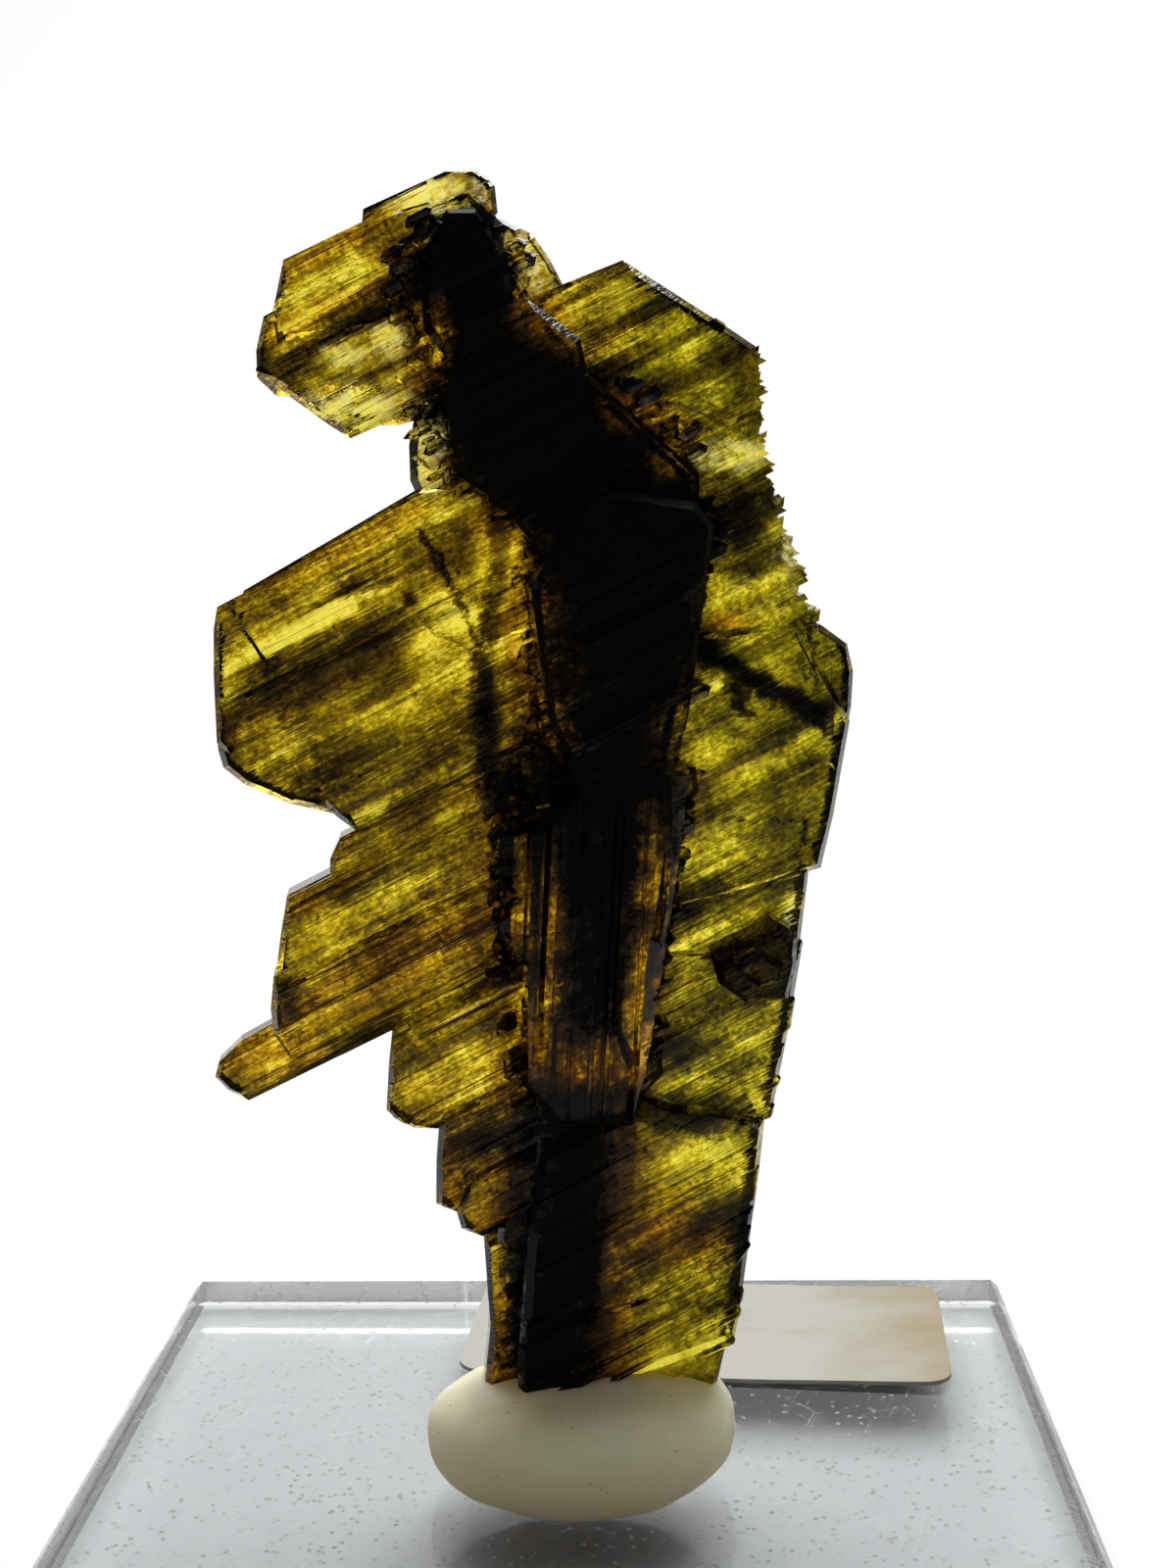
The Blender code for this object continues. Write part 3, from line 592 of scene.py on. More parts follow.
# Colours from thin clear crystal to thick dark crystal, for the olive parts and for the rusty parts
OLIVE_SHADES = [
    (0.02, (0.95, 0.88, 0.20)), (0.11, (0.72, 0.61, 0.018)), (0.24, (0.36, 0.300, 0.006)), (0.36, (0.19, 0.162, 0.005)),
    (0.48, (0.10, 0.086, 0.005)), (0.62, (0.044, 0.036, 0.003)), (0.78, (0.014, 0.011, 0.001)),
    (1.00, (0.0025, 0.002, 0.001)),
]
RUST_SHADES = [
    (0.02, (0.97, 0.80, 0.12)), (0.11, (0.74, 0.47, 0.010)), (0.24, (0.44, 0.255, 0.004)), (0.36, (0.26, 0.133, 0.003)),
    (0.48, (0.14, 0.062, 0.002)), (0.62, (0.060, 0.025, 0.0015)), (0.78, (0.020, 0.008, 0.001)),
    (1.00, (0.003, 0.002, 0.001)),
]

# Places on the blade that stand out, as (x, z, half width, half height, faintness)
ORANGE = [
    (-14.3, 27.6, 2.8, 1.2, 0.0), (-6.1, 21.3, 0.9, 1.5, 0.0), (5.4, 18.2, 3.4, 1.8, 0.6), (8.0, 47.6, 1.2, 0.6, 0.6),
]
BROWN = [
    (-1.6, 47.4, 1.0, 2.6, 0.4), (-0.4, 61.2, 1.2, 1.0, 0.1), (1.9, 16.0, 0.8, 6.4, 0.1),
    (-1.9, 31.5, 0.9, 6.5, 0.1), (3.6, 30.5, 0.9, 5.6, 0.3), (-4.2, 58.4, 1.4, 1.6, 0.3), (-3.6, 18.6, 1.4, 1.4, 0.2),
    (-3.6, 11.2, 0.9, 1.6, 0.0), (-7.0, 62.2, 1.2, 1.4, 0.3),
]
# Painted highlights: pale spots where the light shines straight through thin ledges and crystal ends
PAINTED_HIGHLIGHTS = [
    (-9.3, 59.9, 1.0, 0.4, 0.0), (-7.3, 60.6, 0.8, 0.75, 0.1), (-9.0, 57.9, 2.6, 0.9, 0.4),
    (8.0, 55.3, 1.7, 0.7, 0.0), (10.9, 51.8, 0.5, 2.6, 0.2), (11.2, 33.8, 0.5, 0.9, 0.0), (-4.6, 66.9, 2.6, 0.7, 0.4),
    (-2.9, 67.3, 0.5, 0.6, 0.0), (-0.8, 64.4, 1.2, 1.5, 0.2), (-5.7, 55.6, 0.8, 1.6, 0.4),
]
CLEAR = [
    (8.6, 48.9, 2.2, 1.4, 0.0), (8.2, 41.2, 1.8, 1.4, 0.3), (-7.45, 29.0, 0.25, 1.1, 0.0),
    (-3.5, 15.4, 0.6, 1.8, 0.2), (-2.4, 50.6, 1.4, 1.8, 0.3), (-5.2, 47.2, 1.6, 2.2, 0.2), (7.4, 36.4, 2.0, 1.2, 0.5),
    (-12.0, 27.6, 0.7, 0.5, 0.4), (-5.4, 26.4, 2.8, 1.7, 0.1),
]
# Dark patches: partly darker crystal, partly painted internal shade
DARK_WITH_PAINTED_SHADE = [
    (4.9, 27.3, 1.5, 0.9, 0.1), (7.0, 46.4, 1.3, 0.8, 0.0), (10.0, 53.0, 0.4, 0.6, 0.0),
    (10.7, 50.9, 0.5, 0.7, 0.0), (9.0, 50.0, 1.0, 0.5, 0.1), (-13.1, 30.3, 0.4, 0.8, 0.1),
    (-7.0, 49.0, 0.25, 0.4, 0.0), (-3.5, 40.6, 0.35, 1.7, 0.0),
    (-2.5, 40.6, 0.7, 0.8, 0.4), (-13.1, 59.2, 0.45, 1.3, 0.0), (-2.5, 15.0, 0.55, 5.8, 0.0), (8.1, 17.2, 0.7, 2.6, 0.3),
    (5.4, 52.0, 1.0, 2.4, 0.4), (-0.4, 16.0, 1.7, 8.0, 0.2), (3.0, 58.6, 2.8, 1.2, 0.4), (8.6, 52.4, 1.2, 1.6, 0.5),
    (-3.7, 63.4, 1.7, 2.6, 0.0), (-1.0, 57.0, 3.0, 3.4, 0.1), (-3.4, 43.4, 0.5, 1.4, 0.5),
]
GLOW = [
    (-1.3, 33.0, 1.2, 6.4, 0.1), (3.9, 36.4, 0.7, 3.6, 0.25), (3.1, 30.2, 0.8, 3.6, 0.2), (0.7, 27.2, 2.6, 2.2, 0.25),
    (-0.3, 43.2, 1.0, 1.4, 0.5), (3.4, 57.2, 2.2, 1.0, 0.4), (5.0, 55.2, 1.0, 1.4, 0.5), (-5.2, 61.2, 1.0, 2.0, 0.5),
]
# The same along the striations, as (along, across, half length, half width, faintness)
ORANGE_BANDS = [
    (19.6, 62.5, 3.6, 0.5, 0.0), (17.0, 60.3, 2.8, 0.45, 0.0), (14.4, 50.4, 3.8, 0.6, 0.3), (7.0, 32.2, 5.4, 1.1, 0.2),
    (5.0, 36.9, 3.0, 0.6, 0.3),
]
# Dark bands: partly darker crystal, partly painted internal shade
DARK_BANDS_WITH_PAINTED_SHADE = [
    (18.0, 58.95, 3.8, 0.42, 0.0), (15.6, 58.6, 1.6, 0.5, 0.2), (17.8, 56.65, 3.2, 0.14, 0.2),
    (31.2, 53.6, 2.8, 0.4, 0.0), (10.0, 46.2, 4.8, 1.25, 0.0), (9.0, 41.5, 3.6, 1.0, 0.5),
    (13.1, 48.8, 1.7, 0.14, 0.0),
    (3.2, 30.45, 3.6, 0.09, 0.0), (3.0, 29.55, 3.2, 0.38, 0.2), (6.2, 27.5, 2.4, 0.4, 0.3),
    (6.0, 36.5, 3.4, 0.8, 0.3), (12.6, 14.0, 4.4, 1.1, 0.3), (27.0, 33.3, 4.0, 0.2, 0.2),
    (20.6, 28.2, 3.4, 0.5, 0.4), (12.2, 11.6, 3.4, 0.2, 0.4),
]
CLEAR_BANDS = [
    (10.2, 48.05, 4.8, 0.4, 0.0),
    (9.2, 39.15, 1.4, 0.26, 0.0), (8.5, 28.75, 2.8, 0.14, 0.0), (18.6, 61.4, 2.6, 0.35, 0.3),
    (18.2, 56.1, 2.4, 0.12, 0.0), (22.0, 30.6, 2.4, 0.5, 0.2), (14.7, 17.6, 4.4, 0.75, 0.0),
    (10.3, 8.8, 3.6, 0.8, 0.1), (17.0, 54.9, 2.0, 0.16, 0.1),
    (25.6, 37.0, 2.4, 0.4, 0.4), (19.4, 26.4, 2.6, 0.5, 0.4),
]
# Veins of dark mineral: those that run down as (z, x), those that run across as (x, z); half width, strength
VEINS_DOWN = [
    ([(42.2, -3.5), (46.3, -3.7), (48.8, -4.5), (50.9, -5.5), (52.4, -6.4)], 0.10, 0.55),
    ([(40.0, -3.7), (44.0, -3.7), (46.8, -3.4), (50.1, -2.7), (52.8, -2.8)], 0.26, 0.40),
    ([(40.2, -3.6), (42.2, -3.6), (44.6, -3.7)], 0.42, 0.22),
    ([(44.4, 11.7), (46.4, 11.9), (48.0, 12.0)], 0.1, 0.5),
    ([(43.0, 8.7), (45.0, 8.1)], 0.2, 0.6),
    ([(43.4, 9.8), (44.6, 9.7)], 0.16, 0.5),
    ([(20.0, -5.1), (21.4, -5.0), (22.1, -4.2)], 0.12, 0.5),
    ([(26.3, 3.4), (33.0, 4.6), (40.0, 5.8)], 0.09, 0.7),
    ([(30.8, -3.15), (38.4, -3.15)], 0.08, 0.7),
]
VEINS_OVER = [
    ([(5.4, 47.5), (7.7, 45.8), (9.4, 44.6), (11.0, 43.9), (12.9, 42.6)], 0.36, 0.75),
    ([(-6.6, 21.9), (-4.9, 22.7), (-2.8, 23.2), (-1.3, 24.2), (0.4, 24.7), (2.3, 25.1), (5.6, 23.9), (9.0, 23.7)],
     0.40, 0.60),
    ([(-6.3, 48.0), (-3.7, 46.3)], 0.06, 0.4),
]


class CrystalSettings(bpy.types.PropertyGroup):
    blade_yaw: FloatProperty(name="Blade yaw", description="How far the blade is turned about the upright",
                             default=math.radians(8.0), subtype="ANGLE")
    striation_angle: FloatProperty(name="Striation angle", description="Slope of the striations on the blade",
                                   default=math.radians(26.0), subtype="ANGLE")
    prism_angle: FloatProperty(name="Prism angle", description="Slope of the striations on the dark prism",
                               default=math.radians(86.0), subtype="ANGLE")
    step_rise: FloatProperty(name="Step rise", description="Usual height of one striation step",
                             default=0.00004, unit="LENGTH", precision=6)
    seed: IntProperty(name="Seed", description="Changes the steps and laths", default=11)
    crust: IntProperty(name="Crust crystals", description="How many tiny crystals sit on the spine", default=340, min=0)
    absorption: FloatProperty(name="Absorption", description="How fast light dies inside, per metre", default=260.0)


class PuttySettings(bpy.types.PropertyGroup):
    color: FloatVectorProperty(name="Colour", description="Colour of the putty", subtype="COLOR", size=3,
                               min=0.0, max=1.0, default=(0.94, 0.87, 0.57))
    lip: FloatProperty(name="Lip", description="How far the putty rises where it meets the crystal",
                       default=0.0002, unit="LENGTH", precision=5)


class PlateSettings(bpy.types.PropertyGroup):
    color: FloatVectorProperty(name="Colour", description="Tint of the acrylic", subtype="COLOR", size=3,
                               min=0.0, max=1.0, default=(0.95, 0.97, 0.98))
    scratches: FloatProperty(name="Scratches", description="How much the faces are scratched", default=0.35,
                             subtype="FACTOR", min=0.0, max=1.0)


class LabelSettings(bpy.types.PropertyGroup):
    color: FloatVectorProperty(name="Colour", description="Colour of the aged paper", subtype="COLOR", size=3,
                               min=0.0, max=1.0, default=(0.50, 0.495, 0.455))
    curl: FloatProperty(name="Curl", description="How far the ends lift", default=0.0003, unit="LENGTH", precision=5)


class StageSettings(bpy.types.PropertyGroup):
    bright: FloatProperty(name="Bright side", description="Light of the surround behind the crystal", default=1.05)
    dim: FloatProperty(name="Dim side", description="Light of the surround in front of the crystal", default=0.15)
    top_light: FloatProperty(name="Top light", description="Power of the soft light above", default=3.4, unit="POWER")


def settings(name):
    return getattr(bpy.context.scene, name)


def epidote(crystal):
    """Clear yellow to olive crystal with bands, stains, veins and a dark core; pale spots are painted highlights, and
    dark patches and sideways facets carry painted shade.
    """
    surface = Surface("epidote")
    yaw, tilt = crystal.blade_yaw, crystal.striation_angle
    right, up = Vector((math.cos(yaw), math.sin(yaw), 0.0)), Vector((0.0, 0.0, 1.0))
    x, z = surface.measure(right), surface.measure(up)
    depth = surface.measure((-math.sin(yaw), math.cos(yaw), 0.0))
    along = surface.measure(right * math.cos(tilt) + up * math.sin(tilt))
    across = surface.measure(up * math.cos(tilt) - right * math.sin(tilt))
    flat, run = surface.spot(x, z, depth), surface.spot(along, across, depth)

    cloud = surface.grain(flat, (0.42, 0.42, 0.25), detail=2.0, rough=0.6)
    fray = surface.grain(run, (0.55, 1.3, 0.4), detail=3.0, rough=0.65)
    bands = surface.grain(run, (0.07, 0.85, 0.12), detail=1.0)
    streaks = surface.grain(run, (0.40, 4.6, 0.5), detail=2.0, rough=0.65)
    lines = surface.grain(run, (0.16, 6.5, 0.6), detail=1.0)
    mottle = surface.grain(flat, (2.2, 2.2, 1.2), detail=3.0, rough=0.75)
    grit = surface.grain(run, (3.6, 6.0, 2.0), detail=1.0).rising(0.38, 0.62)
    columns = surface.grain(flat, (2.6, 0.30, 1.0), detail=1.0, rough=0.6)
    zone = surface.grain(flat, (0.16, 0.16, 0.1), detail=1.0)
    busy = zone.rising(0.40, 0.58)
    bent = surface.spot(along + (mottle - 0.5) * 0.7, across + (fray - 0.5) * 0.08, depth)
    lath = surface.tone(bent, (0.13, 1.15, 0.15))
    sliver = surface.tone(bent, (0.30, 3.8, 0.3))

    loose = surface.spot(x + (fray - 0.5) * 1.9 + (mottle - 0.5) * 1.2, z + (cloud - 0.5) * 1.6 + (fray - 0.5) * 0.8)
    banded = surface.spot(along + (cloud - 0.5) * 3.0 + (mottle - 0.5) * 2.0, across + (fray - 0.5) * 0.4)
    # Dark patches and bands: darker crystal and painted internal shade
    dark = surface.near(loose, DARK_WITH_PAINTED_SHADE).most(surface.near(banded, DARK_BANDS_WITH_PAINTED_SHADE) * 0.9)
    clear = surface.near(loose, CLEAR).most(surface.near(banded, CLEAR_BANDS))
    orange = surface.near(loose, ORANGE).most(surface.near(banded, ORANGE_BANDS))
    brown, pale = surface.near(loose, BROWN), surface.near(loose, PAINTED_HIGHLIGHTS)

    ragged = x + (fray - 0.5) * 3.0 + (mottle - 0.5) * 2.4
    height = z.rising_straight(0.0, 70.0)
    from_left = ragged - surface.line(height, DARK_LEFT, (0.0, 70.0))
    from_right = surface.line(height, DARK_RIGHT, (0.0, 70.0)) - ragged
    inside = from_left.least(from_right)
    core = inside.rising(-0.5, 0.2)
    deep = inside.rising(0.1, 1.7)
    halo = inside.rising(-2.4, 0.0)
    glow = surface.near(loose, GLOW)
    raised = depth.rising(-1.95, -2.3) * inside.rising(-3.2, -2.2)
    # Painted shade: faces of the raised spine crystals that turn sideways from the blade are darkened, as if light bent
    # away from them
    facing = surface.vector("DOT_PRODUCT", surface.node("ShaderNodeNewGeometry", None, None, "Normal"),
                            (-math.sin(yaw), math.cos(yaw), 0.0), output=1)
    painted_side_shade = abs(facing).rising(0.85, 0.55)
    small = depth.rising(-1.9, -2.1) * x.rising(6.2, 6.7) * z.rising(29.0, 29.4)

    vein = None
    for veins, place, value, reach in ((VEINS_DOWN, z, x, (0.0, 70.0)), (VEINS_OVER, x, z, (-18.0, 18.0))):
        wander = value + (fray - 0.5) * 1.8 + (mottle - 0.5) * 1.0
        share = place.rising_straight(*reach)
        for table, half, strength in veins:
            mask = abs(wander - surface.line(share, table, reach)).rising(half * 2.2, half * 0.7, strength)
            vein = mask if vein is None else vein.most(mask)

    broken = cloud.rising(0.48, 0.62)
    shaken = surface.spot(x + mottle * 0.8, z + streaks * 0.8, depth)
    specks = surface.cells(shaken, (1.5, 1.9, 1.0)).rising(0.17, 0.11) * fray.rising(0.44, 0.54)
    crack = surface.grain(surface.spot(x + mottle * 0.5, z, depth), (0.5, 0.7, 0.3), detail=0.0)
    cracks = abs(crack - 0.5).rising(0.010, 0.003) * zone.rising(0.48, 0.55)
    grooves = lines.rising(0.62, 0.66)
    ridges = lines.rising(0.38, 0.33)
    open_crystal = 1.0 - core * 0.8

    # Density: raised spine crystals are dark of themselves and get painted shade on their sideways faces; pale spots
    # are painted highlights; dark patches are partly painted internal shade
    density = (0.38 + (cloud - 0.5) * 1.2 + (bands - 0.5) * 0.8
               + (mottle - 0.5) * (0.5 + 0.6 * busy + 0.6 * core) + (grit - 0.5) * 0.24
               + ((streaks - 0.5) * 0.9 + (lath - 0.5) * 0.40 + (sliver - 0.5) * 0.40)
               * (0.30 + 0.75 * busy) * open_crystal
               + (grooves * 0.26 - ridges * 0.24) * (0.4 + 0.6 * busy) * open_crystal + (columns - 0.5) * core * 0.8
               + dark * 0.42 + vein + specks * 0.45 + cracks * 0.30
               - clear * 0.30 - pale * 0.28 - orange * 0.05 + halo * 0.17 + core * 0.36 + deep * 0.44 - glow * 0.80
               + raised * (0.15 + 0.6 * painted_side_shade) + small * 0.70 + 0.08 * x.rising(2.0, 8.0) * z.rising(22.0, 30.0)
               - 0.06 * x.rising(1.0, 3.0) * z.rising(19.0, 16.0))
    stain = (0.45 - 0.45 * x.rising(1.0, 7.0) + (bands - 0.5) * 1.0 + (sliver - 0.5) * 0.3
             + (orange * 1.1).most(brown * 0.9).most(halo * 0.4).most(cracks * 0.6).most(small * 0.9) + glow * 0.4)
    green = surface.ramp(density, OLIVE_SHADES)
    rust = surface.ramp(density, RUST_SHADES)
    color = surface.blend(stain, green, rust)
    # Painted highlights: the pale spots are blended towards a pale cream
    color = surface.blend(pale * mottle.rising(0.42, 0.60) * 0.7, color, (0.93, 0.91, 0.62))

    relief = surface.bump(surface.grain(run, (0.12, 7.0, 1.0), detail=2.0, rough=0.6), 0.5 * open_crystal, 0.00006)
    rough = 0.10 * broken * streaks
    surface.set(Base_Color=color, Roughness=rough, IOR=1.74, Transmission_Weight=1.0, Normal=relief,
                Specular_Tint=(0.10, 0.10, 0.10))
    solid_core = surface.node("ShaderNodeBsdfPrincipled", None, {
        "Base Color": (0.0040, 0.0030, 0.0018), "Roughness": 0.25, "Specular IOR Level": 0.02, "Normal": relief})
    mixed = surface.node("ShaderNodeMixShader", None,
                         {0: density.rising(0.95, 1.55), 1: surface.shader.outputs[0], 2: solid_core})
    surface.feed(surface.output.inputs["Surface"], mixed)
    light_loss = surface.node("ShaderNodeVolumeAbsorption", None,
                              {"Color": (0.857, 0.80, 0.05), "Density": crystal.absorption})
    surface.feed(surface.output.inputs["Volume"], light_loss)
    return surface.material


def putty_material(putty):
    """Soft white putty: smooth, faintly waxy, with a few grains of dust."""
    surface = Surface("white_putty")
    place = surface.place
    cloud = surface.grain(place, (0.3, 0.3, 0.3))
    color = surface.blend(cloud.rising(0.35, 0.7), tuple(putty.color), (0.84, 0.79, 0.56))
    low = surface.measure((0.0, 0.0, 1.0)).rising(9.0, 5.4)
    color = surface.blend(low * 0.8, color, (0.92, 0.74, 0.42))
    dust = surface.cells(place, (1.9, 1.9, 1.9)).rising(0.12, 0.07)
    scarce = surface.grain(place, (0.8, 0.8, 0.8)).rising(0.50, 0.58)
    color = surface.blend(dust * scarce * 0.8, color, (0.16, 0.13, 0.09))
    press = surface.grain(place, (0.6, 0.6, 0.6), detail=2.0)
    skin = surface.grain(place, (5.0, 5.0, 5.0), detail=4.0, rough=0.6)
    relief = surface.bump(press, 0.3, 0.0003)
    relief = surface.bump(skin, 0.12, 0.00003, under=relief)
    surface.set(Base_Color=color, Roughness=0.38 + 0.16 * cloud, Normal=relief, Subsurface_Weight=1.0,
                Subsurface_Scale=0.0035, Specular_IOR_Level=0.45, Subsurface_Radius=(1.0, 0.8, 0.5))
    return surface.material


def acrylic(plate):
    """Clear acrylic with fine scratches, dust and a scuffed edge."""
    surface = Surface("clear_acrylic")
    place = surface.place
    x, y = surface.measure((1.0, 0.0, 0.0)), surface.measure((0.0, 1.0, 0.0))
    wear = surface.grain(place, (0.08, 0.08, 0.1), detail=4.0, rough=0.6)
    marks = None
    for turn, spread, shift in ((20.0, 3.2, 0.0), (71.0, 3.8, 9.0), (134.0, 4.4, 21.0)):
        cosine, sine = math.cos(math.radians(turn)), math.sin(math.radians(turn))
        along = surface.measure((cosine, sine, 0.0))
        side = surface.measure((-sine, cosine, 0.0))
        turned = surface.spot(along, side, shift)
        line = surface.grain(turned, (0.05, spread, 1.0), detail=1.0)
        patches = surface.grain(turned, (0.12, 0.3, 1.0), detail=1.0).rising(0.52, 0.64)
        mark = abs(line - 0.5).rising(0.008, 0.002) * patches
        marks = mark if marks is None else marks.most(mark)
    dust = surface.cells(place, (1.6, 1.6, 1.6)).rising(0.24, 0.14)
    dust = dust * surface.grain(place, (0.4, 0.4, 0.4)).rising(0.42, 0.54)
    edge = abs(x).most(abs(y)).rising(24.45, 24.8)
    color = surface.blend(dust * 0.9, tuple(plate.color), (0.30, 0.30, 0.28))
    rough = 0.03 + 0.08 * wear + marks * plate.scratches + 0.5 * dust + 0.25 * edge
    surface.set(Base_Color=color, Roughness=rough, IOR=1.49, Transmission_Weight=1.0)
    return surface.material


def paper(label):
    """Aged paper, browner at the right end, with soft fibres; its face is bare."""
    surface = Surface("aged_paper")
    place = surface.place
    fibre = surface.grain(place, (1.2, 4.0, 3.0), detail=5.0, rough=0.7)
    stain = surface.grain(place, (0.16, 0.22, 0.2), detail=4.0, rough=0.6)
    color = surface.blend(fibre.rising(0.3, 0.75) * 0.4, tuple(label.color), (0.45, 0.42, 0.34))
    browned = (surface.measure((1.0, 0.0, 0.0)) + (stain - 0.5) * 14.0).rising(11.0, 24.0)
    color = surface.blend(browned * 0.75, color, (0.34, 0.25, 0.10))
    color = surface.blend(stain.rising(0.58, 0.72) * 0.4, color, (0.38, 0.33, 0.24))
    relief = surface.bump(fibre, 0.35, 0.00006)
    surface.set(Base_Color=color, Roughness=0.82, Normal=relief, Specular_IOR_Level=0.25)
    return surface.material


def floor_material():
    """A pale floor that runs out softly into the surround."""
    surface = Surface("pale_floor")
    far = surface.vector("LENGTH", surface.place, output=1)
    cloud = surface.grain(surface.place, (0.01, 0.01, 0.01), detail=2.0)
    color = surface.blend(cloud, (0.86, 0.86, 0.86), (0.90, 0.90, 0.90))
    surface.set(Base_Color=color, Roughness=0.8, Specular_IOR_Level=0.1, Alpha=far.rising(420.0, 90.0))
    return surface.material


class SPECIMEN_OT_grow_crystal(bpy.types.Operator):
    """Grow the striated epidote crystal over its solid"""

    bl_idname = "specimen.grow_crystal"
    bl_label = "Grow crystal"

    def execute(self, context):
        crystal = settings("specimen_crystal")
        growth = Striations(crystal, crystal.striation_angle)
        prism = Striations(crystal, crystal.prism_angle)
        singles = []
        for single in HEAD + WING + LEFT_STEPS + RIGHT_BLADE + BOTTOM_BLOCK + SPINE + SMALL_FRONT:
            singles.append((prism if single in UPRIGHT else growth).striated(single))
        singles += prism.laths(SPINE[4], 6, 2)
        for parent, on_front, on_back in LATHED:
            singles += growth.laths(parent, on_front, on_back)
        for row in RAGGED_EDGES:
            singles += growth.ragged_edge(*row)
        singles += growth.crust(crystal.crust)
        others = bpy.data.collections.new("single_crystals")
        context.scene.collection.children.link(others)
        singles = [mesh for mesh in singles if solid(mesh)]
        yaw = Matrix.Rotation(crystal.blade_yaw, 4, "Z")
        base = new_piece("crystal_growth", singles[0])
        singles[0].transform(yaw)
        for mesh in singles[1:]:
            mesh.transform(yaw)
            others.objects.link(bpy.data.objects.new("single_crystal", mesh))
        join = base.modifiers.new("join", "BOOLEAN")
        join.operation = "UNION"
        join.operand_type = "COLLECTION"
        join.collection = others
        join.solver = "MANIFOLD"
        joined = evaluated_mesh(base)
        base.modifiers.clear()
        for piece in list(others.objects):
            bpy.data.objects.remove(piece)
        bpy.data.collections.remove(others)
        bm = bmesh.new()
        bm.from_mesh(joined)
        slice_off(bm, Vector((0.0, 0.0, ROOT_Z * MM)), Vector((0.0, 0.0, -1.0)))
        base.data = mesh_from(bm, "crystal_growth")
        if len(base.data.polygons) < 1000:
            raise RuntimeError("the single crystals did not join")
        base.data.materials.clear()
        base.data.materials.append(epidote(crystal))
        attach(base, "root")
        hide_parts("epidote_crystal")
        return {"FINISHED"}


class SPECIMEN_OT_press_putty(bpy.types.Operator):
    """Press the ball of putty round the crystal's root"""

    bl_idname = "specimen.press_putty"
    bl_label = "Press putty"

    def execute(self, context):
        putty = settings("specimen_putty")
        width, depth, height = 15.2, 10.8, 6.9
        bm = bmesh.new()
        bmesh.ops.create_uvsphere(bm, u_segments=112, v_segments=72, radius=0.5)
        for vert in bm.verts:
            level = vert.co.z / 0.5
            fullness = 0.62 if level > 0.0 else 0.86
            vert.co.z = math.copysign(abs(level) ** fullness, level) * 0.5
        bmesh.ops.scale(bm, vec=(width, depth, height), verts=bm.verts[:])
        tilt = Matrix.Rotation(math.radians(-2.5), 3, "Y")
        bmesh.ops.rotate(bm, cent=(0.0, 0.0, 0.0), matrix=tilt, verts=bm.verts[:])
        foot = 5.3
        bmesh.ops.translate(bm, vec=Vector((0.4, -0.3, foot + height / 2 - 1.2)), verts=bm.verts[:])
        yaw = Matrix.Rotation(-settings("specimen_crystal").blade_yaw, 2)
        for vert in bm.verts:
            dent = noise.noise(vert.co * 0.28) * 0.16 + noise.noise(vert.co * 0.9) * 0.04
            vert.co += vert.normal * dent
            if vert.co.z > 8.0:
                spot = yaw @ vert.co.xy
                off = Vector((max(-4.6 - spot.x, spot.x - 7.0, 0.0), max(-2.2 - spot.y, spot.y - 1.8, 0.0)))
                vert.co.z += putty.lip / MM * math.exp(-(off.length / 0.55) ** 2)
        bmesh.ops.scale(bm, vec=(MM, MM, MM), verts=bm.verts[:])
        slice_off(bm, Vector((0.0, 0.0, 5.02 * MM)), Vector((0.0, 0.0, -1.0)))
        mesh = mesh_from(bm, "pressed_putty")
        mesh.shade_smooth()
        mesh.set_sharp_from_angle(angle=math.radians(50.0))
        piece = new_piece("pressed_putty", mesh)
        mesh.materials.append(putty_material(putty))
        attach(piece, "root")
        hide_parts("putty")
        return {"FINISHED"}


class SPECIMEN_OT_polish_plate(bpy.types.Operator):
    """Give the display plate its clear acrylic"""

    bl_idname = "specimen.polish_plate"
    bl_label = "Polish plate"

    def execute(self, context):
        plate = frame["nodes"]["acrylic_plate"]
        plate.data.materials.clear()
        plate.data.materials.append(acrylic(settings("specimen_plate")))
        return {"FINISHED"}


class SPECIMEN_OT_lay_label(bpy.types.Operator):
    """Lay the blank paper label on the back of the plate"""

    bl_idname = "specimen.lay_label"
    bl_label = "Lay label"

    def execute(self, context):
        label = settings("specimen_label")
        length, width, corner, thick = 27.4, 12.9, 1.3, 0.22
        bm = bmesh.new()
        bmesh.ops.create_grid(bm, x_segments=56, y_segments=28, size=0.5)
        for vert in bm.verts:
            x, y = vert.co.x * length, vert.co.y * width
            ox, oy = abs(x) - (length / 2 - corner), abs(y) - (width / 2 - corner)
            if ox > 0.0 and oy > 0.0 and math.hypot(ox, oy) > corner:
                pull = corner / math.hypot(ox, oy)
                x = math.copysign(length / 2 - corner + ox * pull, x)
                y = math.copysign(width / 2 - corner + oy * pull, y)
            lift = ((abs(x) / (length / 2)) ** 4 * label.curl / MM * 0.6
                    + 0.05 * (1.0 + noise.noise((x * 0.15, y * 0.2, 4.0))))
            vert.co = Vector((x, y, lift))
        top = bmesh.ops.extrude_face_region(bm, geom=bm.faces[:])
        raised = [part for part in top["geom"] if isinstance(part, bmesh.types.BMVert)]
        bmesh.ops.translate(bm, vec=(0.0, 0.0, thick), verts=raised)
        bmesh.ops.rotate(bm, cent=(0.0, 0.0, 0.0), matrix=Matrix.Rotation(math.radians(-3.5), 3, "Z"), verts=bm.verts[:])
        bmesh.ops.translate(bm, vec=(6.9, 17.0, 5.02), verts=bm.verts[:])
        bmesh.ops.scale(bm, vec=(MM, MM, MM), verts=bm.verts[:])
        mesh = mesh_from(bm, "blank_label")
        mesh.shade_smooth()
        mesh.set_sharp_from_angle(angle=math.radians(40.0))
        piece = new_piece("blank_label", mesh)
        mesh.materials.append(paper(label))
        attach(piece, "root")
        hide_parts("paper_label")
        return {"FINISHED"}


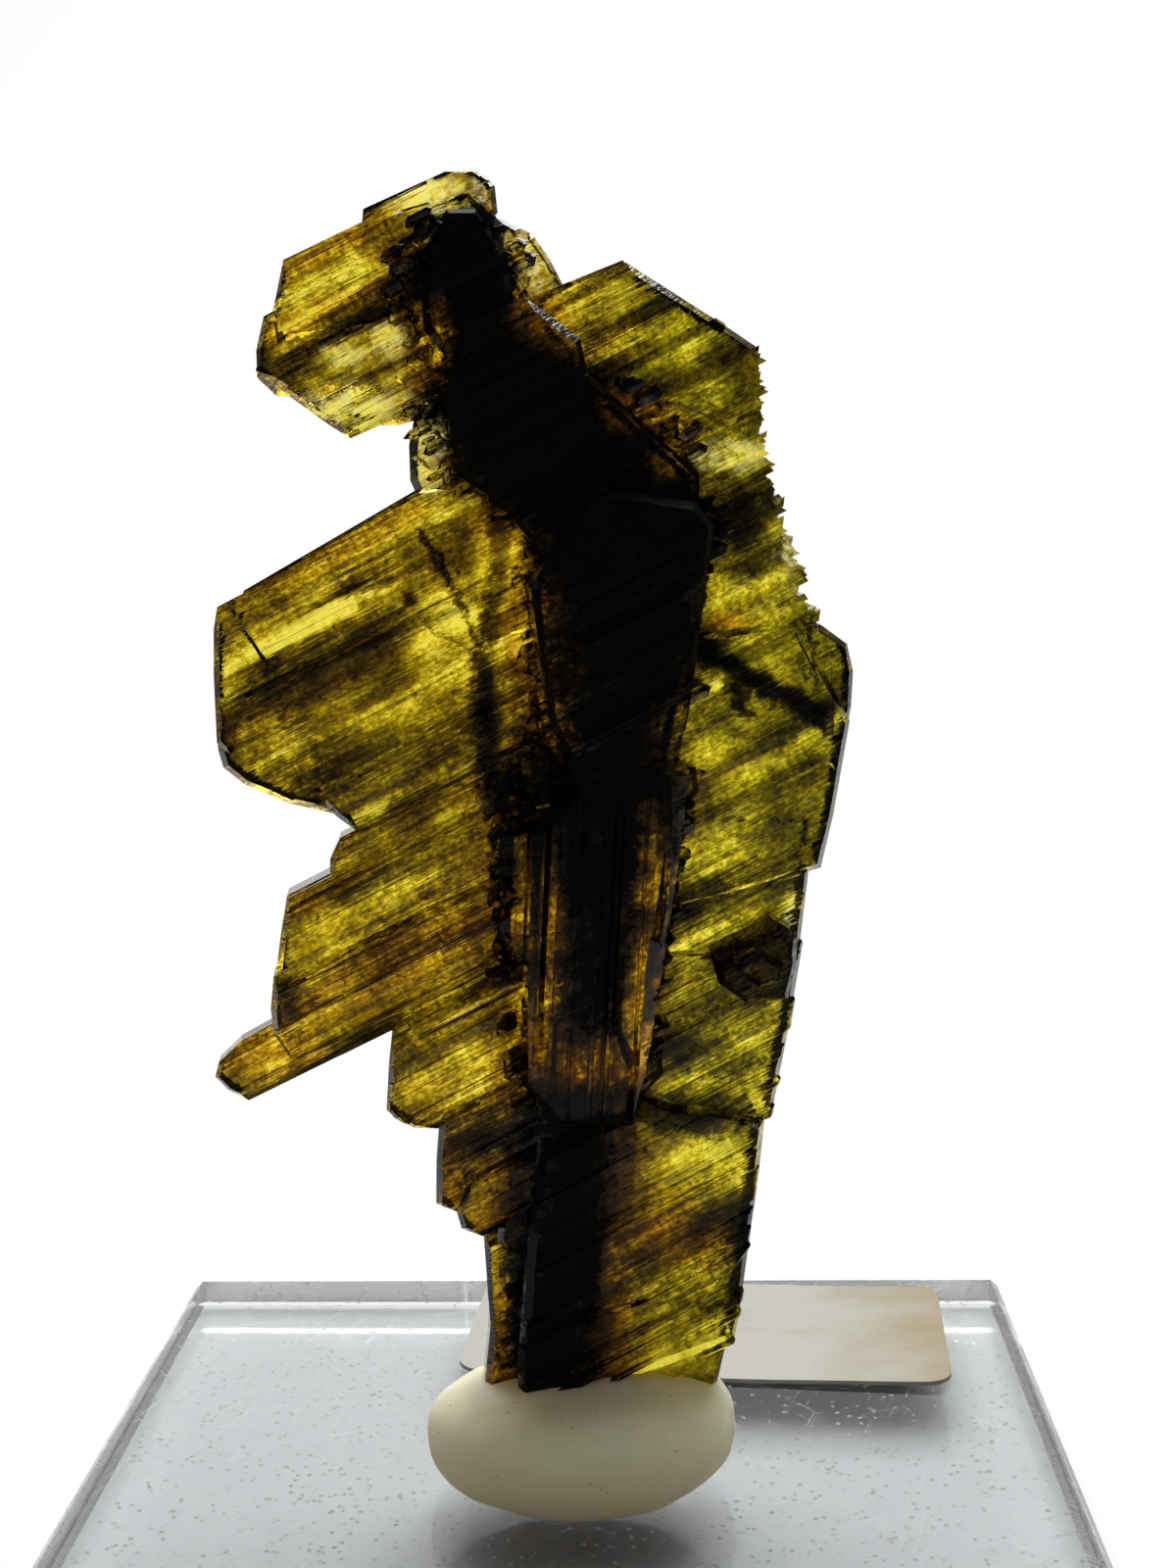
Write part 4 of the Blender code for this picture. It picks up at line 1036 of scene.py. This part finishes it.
class SPECIMEN_OT_set_stage(bpy.types.Operator):
    """Set the floor, the soft light and the camera"""

    bl_idname = "specimen.set_stage"
    bl_label = "Set stage"

    def execute(self, context):
        stage = settings("specimen_stage")
        scene = context.scene
        bm = bmesh.new()
        bmesh.ops.create_circle(bm, cap_ends=True, segments=96, radius=1.6)
        floor = new_piece("pale_floor", mesh_from(bm, "pale_floor"))
        floor.location.z = -0.0002
        floor.data.materials.append(floor_material())
        world = bpy.data.worlds.new("soft_surround")
        scene.world = world
        world.use_nodes = True
        graph = Graph(world.node_tree)
        toward = graph.node("ShaderNodeTexCoord", None, None, "Generated")
        facing = graph.vector("DOT_PRODUCT", toward, tuple(Vector((0.0, 1.0, -0.06)).normalized()), output=1)
        glow = facing.rising(0.60, 0.98)
        graph.feed(world.node_tree.nodes["Background"].inputs["Color"],
                   graph.blend(glow, (stage.dim, stage.dim, stage.dim), (stage.bright, stage.bright, stage.bright)))
        self.softbox("top_light", (0.02, 0.20, 0.48), (0.0, 0.0, 0.0), 0.5, stage.top_light)
        camera = bpy.data.objects.new("camera", bpy.data.cameras.new("camera"))
        scene.collection.objects.link(camera)
        camera.data.lens = 45.0
        camera.data.sensor_width = 36.0
        camera.data.clip_start = 0.002
        yaw, pitch, roll = (math.radians(angle) for angle in (-2.48, 8.58, -1.12))
        ahead = Vector((math.sin(yaw) * math.cos(pitch), math.cos(yaw) * math.cos(pitch), -math.sin(pitch)))
        right = Vector((math.cos(yaw), -math.sin(yaw), 0.0))
        up = right.cross(ahead)
        level = Matrix((right, up, -ahead)).transposed().to_4x4()
        camera.matrix_world = Matrix.Translation((0.0053, -0.0916, 0.0539)) @ level @ Matrix.Rotation(roll, 4, "Z")
        scene.camera = camera
        scene.view_settings.view_transform = "Standard"
        scene.cycles.transmission_bounces = 5
        scene.cycles.max_bounces = 5
        scene.cycles.transparent_max_bounces = 12
        return {"FINISHED"}

    def softbox(self, name, place, aim, size, power):
        data = bpy.data.lights.new(name, "AREA")
        data.shape = "DISK"
        data.size = size
        data.energy = power
        lamp = bpy.data.objects.new(name, data)
        bpy.context.scene.collection.objects.link(lamp)
        lamp.location = place
        lamp.rotation_euler = (Vector(aim) - Vector(place)).to_track_quat("-Z", "Y").to_euler()


OPERATORS = (SPECIMEN_OT_grow_crystal, SPECIMEN_OT_press_putty, SPECIMEN_OT_polish_plate, SPECIMEN_OT_lay_label,
             SPECIMEN_OT_set_stage)
GROUPS = {
    "specimen_crystal": CrystalSettings,
    "specimen_putty": PuttySettings,
    "specimen_plate": PlateSettings,
    "specimen_label": LabelSettings,
    "specimen_stage": StageSettings,
}


class SPECIMEN_PT_panel(bpy.types.Panel):
    bl_idname = "SPECIMEN_PT_panel"
    bl_label = "Crystal specimen"
    bl_space_type = "VIEW_3D"
    bl_region_type = "UI"
    bl_category = "Specimen"

    def draw(self, context):
        for group, operator in zip(GROUPS, OPERATORS):
            box = self.layout.box()
            values = getattr(context.scene, group)
            for key in values.__annotations__:
                box.prop(values, key)
            box.operator(operator.bl_idname)


def register():
    for group in GROUPS.values():
        bpy.utils.register_class(group)
    for name, group in GROUPS.items():
        setattr(bpy.types.Scene, name, PointerProperty(type=group))
    for part in (*OPERATORS, SPECIMEN_PT_panel):
        bpy.utils.register_class(part)


def unregister():
    for part in (SPECIMEN_PT_panel, *reversed(OPERATORS)):
        bpy.utils.unregister_class(part)
    for name, group in GROUPS.items():
        delattr(bpy.types.Scene, name)
        bpy.utils.unregister_class(group)


def main():
    register()
    bpy.ops.specimen.grow_crystal()
    bpy.ops.specimen.press_putty()
    bpy.ops.specimen.polish_plate()
    bpy.ops.specimen.lay_label()
    bpy.ops.specimen.set_stage()


if __name__ == "__main__":
    main()
